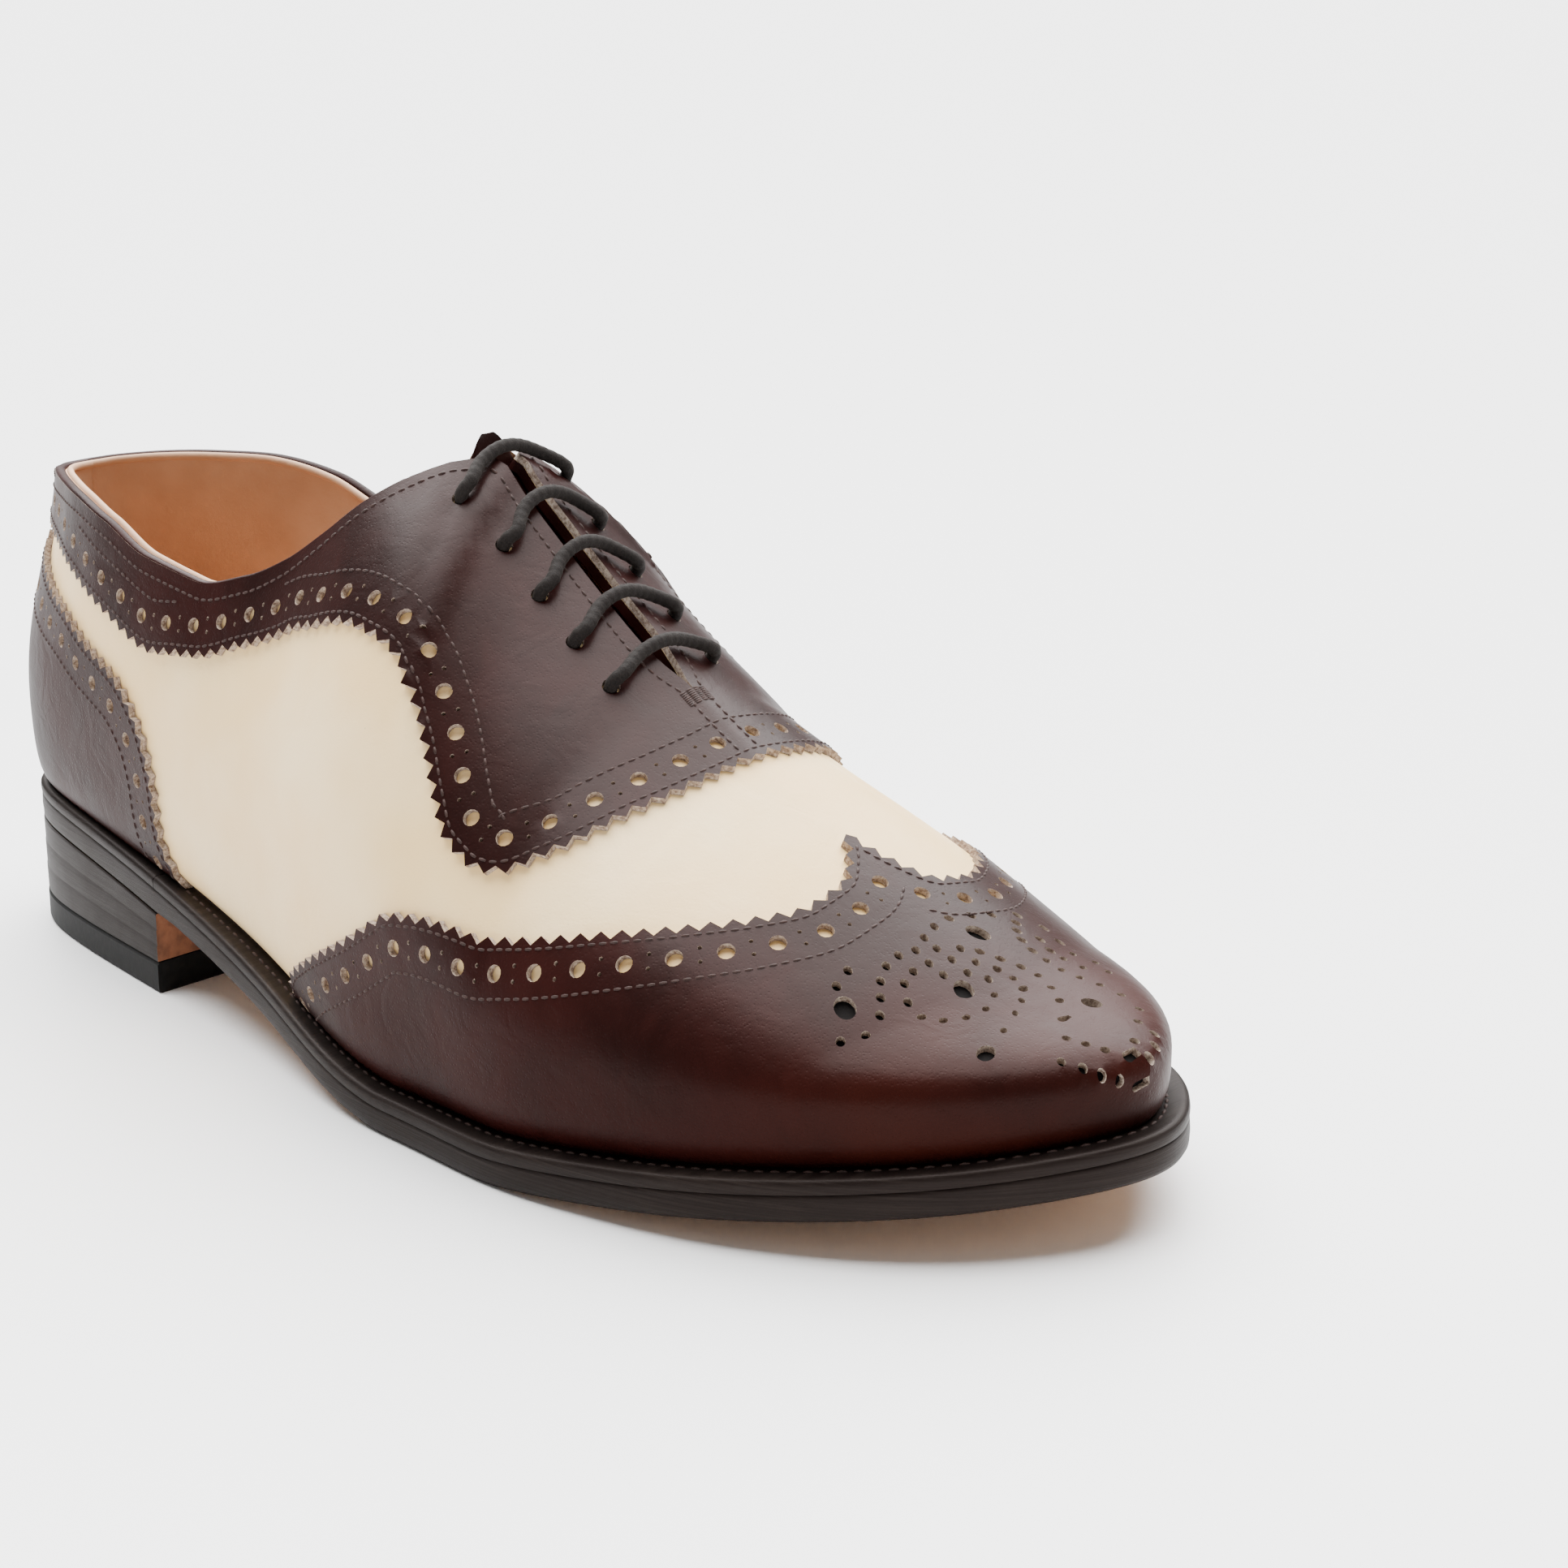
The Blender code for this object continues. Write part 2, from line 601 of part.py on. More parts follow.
def slab(name, u, profile, material, heights, across=5):
    """A solid plate of the sole's outline: profile rows are (inset, which of heights), from top to bottom.
    heights are functions of x. The plate is closed across by strips between the outer and inner sides."""
    sides = []
    for side in (-1, 1):
        rows = []
        for inset, level in profile:
            edge, _ = plan(side * u, inset)
            rows.append(np.column_stack([edge, heights[level](edge[:, 0])]))
        sides.append(np.stack(rows, 1))
    points = []
    faces = []

    def add(a, b, c, d):
        first = len(points)
        points.extend([a, b, c, d])
        faces.append([first, first + 1, first + 2, first + 3])

    count = len(profile)
    for j in range(len(u) - 1):
        for rows, order in zip(sides, (1, -1)):
            for i in range(count - 1):
                add(*[rows[j, i], rows[j, i + 1], rows[j + 1, i + 1], rows[j + 1, i]][::order])
        for i, order in ((0, 1), (count - 1, -1)):
            for k in range(across):
                a, b = k / across, (k + 1) / across
                corners = [
                    sides[0][j, i] * (1 - a) + sides[1][j, i] * a,
                    sides[0][j + 1, i] * (1 - a) + sides[1][j + 1, i] * a,
                    sides[0][j + 1, i] * (1 - b) + sides[1][j + 1, i] * b,
                    sides[0][j, i] * (1 - b) + sides[1][j, i] * b,
                ]
                for corner in corners:
                    corner[2] = heights[profile[i][1]](corner[0])
                add(*corners[::order])
    ends = [j for j in (0, len(u) - 1) if np.linalg.norm(sides[0][j, 0] - sides[1][j, 0]) > 1e-6]
    for j in ends:
        for k in range(across):
            a, b = k / across, (k + 1) / across
            for i in range(count - 1):
                def corner(row, share):
                    point = sides[0][j, row] * (1 - share) + sides[1][j, row] * share
                    if row in (0, count - 1):
                        point[2] = heights[profile[row][1]](point[0])
                    return point
                add(corner(i, a), corner(i, b), corner(i + 1, b), corner(i + 1, a))
    return solid(name, points, faces, material)


def sole_pieces(edge_brown, insole_tan, rubber):
    """Outsole, welt, seat rand, insole, heel stack and top piece."""
    u = np.concatenate([np.linspace(0, 0.12, 5)[:-1], np.linspace(0.12, 0.8, 19)[:-1], np.linspace(0.8, 1, 8)])
    edge = EDGE_ROUNDING
    top = OUTSOLE_THICKNESS
    levels = [
        lambda x: sole_bottom(x) + top,
        lambda x: sole_bottom(x) + top - edge,
        lambda x: sole_bottom(x) + edge,
        lambda x: sole_bottom(x),
    ]
    profile = [(OUTSOLE_SHOULDER, 0), (edge, 0), (0.0, 1), (0.0, 2), (edge * 2, 3), (OUTSOLE_BEVEL, 3)]
    slab("outsole", u, profile, edge_brown, levels)

    low, high = top + GAP, top + GAP + WELT_THICKNESS
    band = [(0.0, low + WELT_FOOT), (0.0, high - WELT_BEVEL), (WELT_BEVEL, high)]

    def strip(name, w):
        """Welt or rand: its inner edge lies under the upper's inner face."""
        closed = abs(w[0]) == 1 and abs(w[-1]) == 1
        within = feather_inset(w) + WALL
        rows = []
        for inset, height in band + [(None, high), (None, low), (WELT_BEVEL, low)]:
            plan_edge, _ = plan(w, within if inset is None else inset)
            rows.append(np.column_stack([plan_edge, sole_bottom(plan_edge[:, 0]) + height]))
        rows = np.stack(rows, 1)
        count = rows.shape[1]
        faces = []
        for j in range(len(w) - 1):
            for i in range(count):
                k = (i + 1) % count
                faces.append([j * count + i, (j + 1) * count + i, (j + 1) * count + k, j * count + k])
        if not closed:
            faces.append(list(range(count)))
            faces.append([(len(w) - 1) * count + i for i in reversed(range(count))])
        return solid(name, rows.reshape(-1, 3), faces, edge_brown)

    side = np.concatenate([np.linspace(HEEL_COLUMN + JOINT, 0.8, 18)[:-1], np.linspace(0.8, 1, 8)])
    strip("welt", np.concatenate([side, -side[::-1][1:]]))
    strip("heel_rand", np.linspace(-HEEL_COLUMN + JOINT, HEEL_COLUMN - JOINT, 19))

    within = u[1:]
    levels = [
        lambda x: sole_bottom(x) + high + INSOLE_RISE,
        lambda x: sole_bottom(x) + low,
    ]
    clear = feather_inset(within) + WALL + INSOLE_CLEARANCE
    slab("insole", within, [(clear, 0), (clear, 1)], insole_tan, levels, across=3)

    back = np.linspace(0, HEEL_COLUMN, 11)
    lift = TOP_PIECE_THICKNESS + GAP
    levels = [lambda x: sole_bottom(x) - GAP, lambda x: lift + 0 * x]
    slab("heel_stack", back, [(STACK_INSET, 0), (-STACK_FLARE, 1)], edge_brown, levels, across=4)
    levels = [lambda x: TOP_PIECE_THICKNESS + 0 * x, lambda x: TOP_PIECE_BEVEL + 0 * x, lambda x: 0 * x]
    profile = [(-STACK_FLARE, 0), (-HEEL_FLARE, 1), (-HEEL_FLARE + TOP_PIECE_BEVEL, 2)]
    slab("top_piece", back, profile, rubber, levels, across=4)


def tongue_piece(brown):
    """The tongue: close under the slit, deeper at its sides to leave room for the hidden lace."""
    distance = TONGUE_POINTS * TONGUE_WIDTH
    near = WALL + GAP + TONGUE_CLEARANCE
    deep = WALL + LACE_DIAMETER + TONGUE_SIDE_CLEARANCE
    depth = near + (deep - near) * ease((distance - 0.001) / 0.0065)
    rows = []
    for u in np.linspace(TONGUE_FOOT, TONGUE_TOP, TONGUE_ROWS):
        halves = []
        for side in (-1, 1):
            w = np.array([side * u])
            fine = np.linspace(0, 1, 200)
            column = last_surface(w, fine)[0]
            beside = last_surface(w + 0.004, fine)[0] - last_surface(w - 0.004, fine)[0]
            normal = unit(np.cross(np.gradient(column, axis=0), beside))
            run = np.concatenate([[0], np.cumsum(np.linalg.norm(np.diff(column[::-1], axis=0), axis=1))])
            point = np.stack([np.interp(distance, run, column[::-1, axis]) for axis in range(3)], -1)
            across = np.stack([np.interp(distance, run, normal[::-1, axis]) for axis in range(3)], -1)
            halves.append((point, unit(across)))
        middle = (halves[0][0][:1] + halves[1][0][:1]) / 2
        over = unit(halves[0][1][:1] + halves[1][1][:1])
        point = np.concatenate([halves[0][0][::-1], middle, halves[1][0]])
        normal = np.concatenate([halves[0][1][::-1], over, halves[1][1]])
        down = np.concatenate([depth[::-1], depth[:1], depth])[:, None]
        rows.append((point - normal * down, normal))
    point, normal = rows[-1]
    middle = point[len(point) // 2]
    rise = unit(np.array([-0.62, 0.0, 0.78]))
    for share, width in TONGUE_TIP:
        rows.append((middle + (point - middle) * width + rise * TONGUE_RISE * share, normal))
    outer = np.stack([point for point, _ in rows])
    inner = np.stack([point - normal * TONGUE_THICKNESS for point, normal in rows])
    count = outer.shape[1]
    back = outer.shape[0] * count
    faces = []
    for j in range(outer.shape[0] - 1):
        for i in range(count - 1):
            quad = [j * count + i, (j + 1) * count + i, (j + 1) * count + i + 1, j * count + i + 1]
            faces.append(quad)
            faces.append([back + corner for corner in reversed(quad)])
        for i in (0, count - 1):
            faces.append([j * count + i, (j + 1) * count + i, back + (j + 1) * count + i, back + j * count + i])
    for j in (0, outer.shape[0] - 1):
        for i in range(count - 1):
            faces.append([j * count + i, j * count + i + 1, back + j * count + i + 1, back + j * count + i])
    return solid("tongue", np.concatenate([outer.reshape(-1, 3), inner.reshape(-1, 3)]), faces, brown)


def lace_route():
    """One lace through every eyelet: a bar across each pair, and hidden runs under the facing."""
    above = GAP + OVERLAY_THICKNESS + LACE_DIAMETER / 2 + LACE_ABOVE
    below = WALL + LACE_DIAMETER / 2 + LACE_BELOW
    turn = LACE_DIAMETER * 0.65
    route = []

    def through(centre, normal, coming, going, up):
        """Round the turn into an eyelet, along its axis, and round the turn out of it."""
        start, end = (-below, above) if up else (above, -below)
        step = turn if up else -turn
        for share in (1.0, 0.45, 0.08):
            route.append(centre + normal * (start + step * (1 - share) ** 2) + coming * turn * share)
        for share in (0.08, 0.45, 1.0):
            route.append(centre + normal * (end - step * (1 - share) ** 2) + going * turn * share)

    for k, pair in enumerate(EYELETS):
        order = (0, 1) if k % 2 == 0 else (1, 0)
        first, first_normal, first_half, first_edge = pair[order[0]]
        last, last_normal, last_half, last_edge = pair[order[1]]
        before = EYELETS[k - 1][order[0]][0] if k else first + (first - EYELETS[1][order[0]][0])
        after = EYELETS[k + 1][order[1]][0] if k + 1 < len(EYELETS) else last + (last - EYELETS[k - 1][order[1]][0])

        def flat(direction, normal):
            return unit(direction - normal * (direction @ normal))

        bar = unit(last - first)
        through(first, first_normal, flat(before - first, first_normal), flat(bar, first_normal), True)
        over = unit(first_normal + last_normal)
        route.append(first_half + unit(first_normal + over) * above)
        route.append((first_edge + last_edge) / 2 + over * above)
        route.append(last_half + unit(last_normal + over) * above)
        through(last, last_normal, flat(-bar, last_normal), flat(after - last, last_normal), False)
    return np.array(route)


def lace_piece(black):
    route = lace_route() - ORIGIN
    curve = bpy.data.curves.new("lace", "CURVE")
    curve.dimensions = "3D"
    curve.bevel_depth = LACE_DIAMETER / 2
    curve.bevel_resolution = 1
    curve.use_fill_caps = True
    spline = curve.splines.new("POLY")
    spline.points.add(len(route) - 1)
    for point, place in zip(spline.points, route):
        point.co = (*place, 1)
    curve.materials.append(black)
    item = bpy.data.objects.new("lace", curve)
    bpy.context.scene.collection.objects.link(item)
    return item


def main():
    clear_scene()
    cream = leather("cream calf", (0.83, 0.74, 0.58), 0.42)
    brown = leather("dark brown calf", (0.075, 0.022, 0.018), 0.3)
    edge_brown = leather("stained sole edge", (0.03, 0.018, 0.014), 0.4)
    insole_tan = leather("tan lining leather", (0.55, 0.30, 0.14), 0.6)
    rubber = leather("rubber top piece", (0.02, 0.02, 0.02), 0.75)
    black = leather("waxed lace", (0.02, 0.015, 0.013), 0.7)
    upper_pieces(cream, brown)
    sole_pieces(edge_brown, insole_tan, rubber)
    tongue_piece(brown)
    lace_piece(black)


main()
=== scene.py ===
# %% [markdown]
# A right spectator shoe: cream calf with dark brown overlays, cut, pierced and sewn as a shoemaker does it.
# Every piece of leather lies on one surface, the last. So the lesson starts with that surface, then cuts
# flat patterns on it, and gives each one its thickness, its holes and its seams.

# %% The frame
import json

import bmesh
import bpy
import numpy as np
from mathutils import Matrix, Vector
from mathutils.geometry import delaunay_2d_cdt

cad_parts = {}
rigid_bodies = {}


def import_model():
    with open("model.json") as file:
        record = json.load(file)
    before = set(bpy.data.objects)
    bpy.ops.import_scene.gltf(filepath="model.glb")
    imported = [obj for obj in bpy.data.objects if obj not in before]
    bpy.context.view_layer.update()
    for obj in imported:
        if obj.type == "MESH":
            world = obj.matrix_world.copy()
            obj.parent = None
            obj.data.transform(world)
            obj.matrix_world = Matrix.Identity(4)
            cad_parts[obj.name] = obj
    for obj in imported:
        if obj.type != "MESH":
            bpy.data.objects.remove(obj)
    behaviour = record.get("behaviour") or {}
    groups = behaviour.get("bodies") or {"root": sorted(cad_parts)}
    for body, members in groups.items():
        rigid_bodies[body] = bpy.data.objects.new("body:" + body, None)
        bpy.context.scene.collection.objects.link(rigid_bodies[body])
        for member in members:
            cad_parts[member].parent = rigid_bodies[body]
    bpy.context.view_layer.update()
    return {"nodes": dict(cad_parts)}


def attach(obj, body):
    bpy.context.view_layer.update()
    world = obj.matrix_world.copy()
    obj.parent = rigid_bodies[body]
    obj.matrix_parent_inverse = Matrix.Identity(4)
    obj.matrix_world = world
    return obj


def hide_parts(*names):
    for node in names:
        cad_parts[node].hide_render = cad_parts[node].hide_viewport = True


for item in list(bpy.data.objects):
    bpy.data.objects.remove(item, do_unlink=True)
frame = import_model()
MM = 0.001
print("nodes", sorted(frame["nodes"]))

# %% [markdown]
# The shoe's sizes. A last is described by its length, its ball and heel widths, its instep and its heel
# height. The tables hold shares of those sizes, a row for each section. A column runs from the feather
# edge, where the upper meets the welt, up to the top line. Columns are numbered by w: 0 at the back seam,
# -1 round the outer side to the toe, +1 round the inner side. v is the share of the way up a column.

# %% Sizes and tables
LENGTH = 0.302
BALL_WIDTH = 0.105
HEEL_WIDTH = 0.064
INSTEP_HEIGHT = 0.1045
HEEL_HEIGHT = 0.0242
HEEL_LENGTH = 0.0745
TOE_SPRING = 0.0112
OUTSOLE_THICKNESS = 0.0049
WELT_THICKNESS = 0.0027
TOP_PIECE_THICKNESS = 0.0066
HEEL_FLARE = 0.0008
WELT_WIDTH = 0.0072
WALL = 0.0020
OVERLAY_THICKNESS = 0.0012
TONGUE_THICKNESS = 0.0018
TONGUE_WIDTH = 0.052
TONGUE_RISE = 0.0075
INSOLE_RISE = 0.0022
GAP = 0.0003
SLIT = 0.0044
EYELET_COUNT = 5
EYELET_DIAMETER = 0.0040
EYELET_INSET = 0.0134
FIRST_EYELET = 0.490
LAST_EYELET = 0.622
LACE_DIAMETER = 0.0028
LACE_ABOVE = 0.0008
LACE_BELOW = 0.0004
FLAT_START = 0.556
FLAT_END = 0.656

STATION, CENTRE, HALF = 0, 1, 2
OUTLINE = np.array([
    (0.000, 0.010, 0.000), (0.033, 0.015, 0.358), (0.106, 0.017, 0.489), (0.215, -0.010, 0.526),
    (0.315, -0.043, 0.491), (0.414, -0.070, 0.452), (0.513, -0.076, 0.456), (0.596, -0.050, 0.468),
    (0.672, -0.022, 0.499), (0.735, 0.000, 0.500), (0.795, 0.014, 0.477), (0.851, 0.027, 0.430),
    (0.901, 0.038, 0.361), (0.944, 0.048, 0.271), (0.977, 0.058, 0.163), (1.000, 0.066, 0.000),
])
COLUMN, INSET, BULGE, RISE = 0, 1, 2, 3
SKIRT = np.array([
    (0.00, 0.50, 0.018, 0.165), (0.10, 0.50, 0.024, 0.165), (0.20, 0.52, 0.030, 0.170),
    (0.30, 0.62, 0.034, 0.200), (0.40, 0.80, 0.036, 0.220), (0.50, 0.90, 0.040, 0.180),
    (0.60, 1.05, 0.042, 0.135), (0.70, 1.10, 0.040, 0.120), (0.80, 1.10, 0.034, 0.105),
    (0.90, 1.05, 0.028, 0.095), (1.00, 1.00, 0.026, 0.095),
])
TOP_STATION, TOP_HALF, TOP_HEIGHT, TOP_FALL = 1, 2, 3, 4
TOP = np.array([
    (0.000, 0.013, 0.000, 0.631, 82), (0.050, 0.017, 0.044, 0.633, 82), (0.100, 0.031, 0.091, 0.638, 82),
    (0.150, 0.056, 0.137, 0.646, 82), (0.200, 0.093, 0.190, 0.655, 82), (0.250, 0.139, 0.244, 0.663, 82),
    (0.300, 0.189, 0.278, 0.654, 80), (0.350, 0.242, 0.290, 0.625, 78), (0.400, 0.295, 0.284, 0.623, 74),
    (0.440, 0.341, 0.263, 0.670, 68), (0.470, 0.377, 0.238, 0.734, 60), (0.490, 0.406, 0.213, 0.806, 52),
    (0.508, 0.434, 0.173, 0.887, 44), (0.522, 0.460, 0.115, 0.949, 36), (0.534, 0.482, 0.055, 0.985, 30),
    (0.545, 0.498, 0.008, 0.992, 27), (0.555, 0.513, 0.000, 0.958, 26), (0.570, 0.546, 0.000, 0.891, 24),
    (0.585, 0.589, 0.000, 0.791, 20), (0.600, 0.639, 0.000, 0.680, 14), (0.606, 0.652, 0.000, 0.654, 10),
    (0.630, 0.689, 0.000, 0.578, 5), (0.660, 0.735, 0.000, 0.495, 2), (0.690, 0.785, 0.000, 0.406, 0),
    (0.720, 0.834, 0.000, 0.315, 0), (0.745, 0.874, 0.000, 0.247, 0), (0.760, 0.891, 0.000, 0.218, 0),
    (1.000, 0.891, 0.000, 0.218, 0),
])
SLIT_OPENS = 0.525
THROAT = 0.606
RIDGE_END = 0.760
RIDGE_CENTRE = 0.014
RIDGE_SWING = 0.035

# %% [markdown]
# Two kinds of curve carry the tables. A natural cubic spline is the smoothest, and suits the outline. A
# steady curve never overshoots its points, which keeps the top line free of waves.


# %% Curves through a table
def smooth_curve(xs, ys):
    """A natural cubic spline: its bends solve a tridiagonal system that makes the slopes continuous."""
    xs, ys = np.asarray(xs, float), np.asarray(ys, float)
    step = np.diff(xs)
    count = len(xs)
    matrix = np.eye(count)
    inner = np.arange(1, count - 1)
    matrix[inner, inner - 1] = step[:-1]
    matrix[inner, inner] = 2 * (step[:-1] + step[1:])
    matrix[inner, inner + 1] = step[1:]
    right = np.zeros(count)
    right[1:-1] = 6 * np.diff(np.diff(ys) / step)
    bend = np.linalg.solve(matrix, right)

    def at(x):
        x = np.clip(x, xs[0], xs[-1])
        i = np.clip(np.searchsorted(xs, x, side="right") - 1, 0, count - 2)
        h = step[i]
        a, b = (xs[i + 1] - x) / h, (x - xs[i]) / h
        return a * ys[i] + b * ys[i + 1] + ((a ** 3 - a) * bend[i] + (b ** 3 - b) * bend[i + 1]) * h * h / 6

    return at


def steady_curve(xs, ys):
    """Cubic pieces whose slope at a point is the harmonic mean of its neighbours', or 0 at a turn."""
    xs, ys = np.asarray(xs, float), np.asarray(ys, float)
    step = np.diff(xs)
    slope = np.diff(ys) / step
    same = slope[:-1] * slope[1:] > 0
    inner = np.zeros(len(xs) - 2)
    inner[same] = 2 / (1 / slope[:-1][same] + 1 / slope[1:][same])
    tangent = np.concatenate([slope[:1], inner, slope[-1:]])

    def at(x):
        x = np.clip(x, xs[0], xs[-1])
        i = np.clip(np.searchsorted(xs, x, side="right") - 1, 0, len(xs) - 2)
        t = (x - xs[i]) / step[i]
        ends = t * (1 - t) ** 2 * tangent[i] - t * t * (1 - t) * tangent[i + 1]
        return ys[i] + (ys[i + 1] - ys[i]) * t * t * (3 - 2 * t) + ends * step[i]

    return at


def ease(t):
    t = np.clip(t, 0, 1)
    return t * t * (3 - 2 * t)


def unit(vectors):
    return vectors / np.maximum(np.linalg.norm(vectors, axis=-1, keepdims=True), 1e-12)


def distances(line):
    """Length of the way along a row of points, from the first one to each of them."""
    return np.concatenate([[0], np.cumsum(np.linalg.norm(np.diff(line, axis=0), axis=1))])


def nearest(points, others):
    """The distance from each point to the nearest of the others."""
    return np.linalg.norm(points[:, None] - others[None], axis=2).min(1)


def circles(first, second, sides):
    """For each pair of vectors, steps evenly round the circle that they span."""
    turn = np.linspace(0, 2 * np.pi, sides, endpoint=False)
    return first[:, None] * np.cos(turn)[None, :, None] + second[:, None] * np.sin(turn)[None, :, None]


# %% [markdown]
# The sole's underside rises to the heel, lies flat under the ball and springs up to the toe. Its outline is
# one closed spline round heel and toe, so that both ends are round.


# %% The sole's line and outline
def sole_bottom(x):
    """Height of the underside: the arch eases down to 0 at the flat tread, then the toe spring rises."""
    arch = ease(np.clip((FLAT_START * LENGTH - x) / (FLAT_START * LENGTH), 0, 1) ** 0.72)
    spring = np.clip((x - FLAT_END * LENGTH) / ((1 - FLAT_END) * LENGTH), 0, 1) ** 1.2
    return HEEL_HEIGHT * arch + TOE_SPRING * spring


def welt_top(x):
    return sole_bottom(x) + OUTSOLE_THICKNESS + GAP + WELT_THICKNESS


def outline_curve():
    """y by column over three turns of the closed outline, so that the middle turn has no end."""
    station = OUTLINE[:, STATION]
    girth = HEEL_WIDTH + (BALL_WIDTH - HEEL_WIDTH) * ease((station - 0.2) / 0.45)
    column = np.arccos(1 - 2 * station) / np.pi
    centre, half = OUTLINE[:, CENTRE] * BALL_WIDTH, OUTLINE[:, HALF] * girth
    w = np.concatenate([-column[::-1], column[1:-1]])
    y = np.concatenate([(centre - half)[::-1], (centre + half)[1:-1]])
    return smooth_curve(np.concatenate([w - 2, w, w + 2]), np.tile(y, 3))


OUTLINE_Y = outline_curve()


def plan(w, inset=0.0):
    """Plan of the sole's edge at columns w, moved in by inset, with the outward normal."""
    def edge(at):
        return np.stack([LENGTH * (1 - np.cos(np.pi * at)) / 2, OUTLINE_Y(at)], -1)

    w = np.asarray(w, float)
    along = unit(edge(w + 1e-4) - edge(w - 1e-4))
    out = np.stack([-along[:, 1], along[:, 0]], -1)
    return edge(w) - out * np.reshape(inset, (-1, 1)), out


HEEL_COLUMN = np.arccos(1 - 2 * HEEL_LENGTH / LENGTH) / np.pi


def sole_middle():
    """The frame's origin: the middle of the sole's box on the floor."""
    w = np.linspace(-1, 1, 801)
    edge, _ = plan(w, -HEEL_FLARE * (np.abs(w) < HEEL_COLUMN))
    return np.array([*(edge.min(0) + edge.max(0)) / 2, 0.0])


ORIGIN = sole_middle()
print("origin of the frame, from the back of the heel, mm:", np.round(ORIGIN / MM, 2))

# %% [markdown]
# The last. Each column is two cubic curves: one from the feather edge out to the widest point, and one over
# to the top line or the ridge of the foot. A scan or sculpt would also give a last, but a function can be
# asked for a point anywhere, which the patterns below need.

# %% The last
INSET_AT = smooth_curve(SKIRT[:, COLUMN], SKIRT[:, INSET])
BULGE_AT = smooth_curve(SKIRT[:, COLUMN], SKIRT[:, BULGE])
RISE_AT = smooth_curve(SKIRT[:, COLUMN], SKIRT[:, RISE])
STATION_AT = steady_curve(TOP[:, COLUMN], TOP[:, TOP_STATION])
HALF_AT = steady_curve(TOP[:, COLUMN], TOP[:, TOP_HALF])
HEIGHT_AT = steady_curve(TOP[:, COLUMN], TOP[:, TOP_HEIGHT])
FALL_AT = steady_curve(TOP[:, COLUMN], TOP[:, TOP_FALL])


def feather_inset(w):
    return INSET_AT(np.abs(w)) * WELT_WIDTH


def top_edge(w):
    """The top line, the slit's edge or the ridge. The slit closes over a few millimetres at the throat."""
    u = np.abs(w)
    station = STATION_AT(u)
    centre = (RIDGE_CENTRE + RIDGE_SWING * ease((station - 0.45) / 0.5)) * BALL_WIDTH
    slit = SLIT / 2 * (u > SLIT_OPENS) * ease((THROAT - 0.0015 - u) / 0.012)
    half = np.maximum(HALF_AT(u) * BALL_WIDTH, slit)
    x = station * LENGTH
    return np.stack([x, centre + np.sign(w) * half, welt_top(x) + HEIGHT_AT(u) * INSTEP_HEIGHT], -1)


def bezier(ends, t):
    a, b, c, d = (end[:, None, :] for end in ends)
    t = t[None, :, None]
    return (1 - t) ** 3 * a + 3 * (1 - t) ** 2 * t * b + 3 * (1 - t) * t * t * c + t ** 3 * d


def column_lines(w):
    """Each column's two cubic curves as one line of points, from the feather edge to the top."""
    u = np.abs(w)
    foot, out = plan(w, feather_inset(w))
    flat_out = np.column_stack([out, np.zeros(len(w))])
    feather = np.column_stack([foot, welt_top(foot[:, 0]) + GAP])
    rise = (RISE_AT(u) * INSTEP_HEIGHT)[:, None]
    bulge = (BULGE_AT(u) * BALL_WIDTH)[:, None]
    up = np.array([[0.0, 0.0, 1.0]])
    widest = feather + flat_out * bulge + up * rise
    top = top_edge(w)
    heading = unit(flat_out * 0.03 + (widest - top) * np.array([[1.0, 1.0, 0.0]]))
    fall = np.radians(FALL_AT(u))[:, None]
    ahead = top_edge(np.sign(w + 1e-9) * np.minimum(u + 0.004, 0.7599))
    before = top_edge(np.sign(w + 1e-9) * np.minimum(u - 0.004, 0.7519))
    slope = ((ahead - before)[:, 2] / np.maximum((ahead - before)[:, 0], 1e-6))[:, None]
    on_ridge = ease((u - 0.53) / 0.05)[:, None]
    drop = heading * np.cos(fall) - up * np.sin(fall) + up * slope * heading[:, :1] * np.cos(fall) * on_ridge
    reach = np.linalg.norm(widest - top, axis=-1, keepdims=True)
    height = (top - widest)[:, 2:]
    full = 0.14 * ease((u - 0.55) / 0.2)[:, None]
    lower = (feather, feather + (flat_out * 0.75 + up * 0.5) * bulge * 1.2, widest - up * rise * 0.5, widest)
    upper = (widest, widest + up * height * (0.42 + full), top + unit(drop) * reach * (0.38 + full), top)
    t = np.linspace(0, 1, 41)
    return np.concatenate([bezier(lower, t)[:, :-1], bezier(upper, t)], 1)


# %% [markdown]
# The patterns ask for tens of thousands of points, so the last is worked out once on a fine grid and then
# read between its points. The leather's few soft creases are pressed into this grid, so that the overlays
# and seams above them follow.

# %% The leather's grid
ACROSS, UPWARD = 1600, 240
GRID_W = np.linspace(-1, 1, ACROSS + 1)
GRID_V = np.linspace(0, 1, UPWARD + 1)
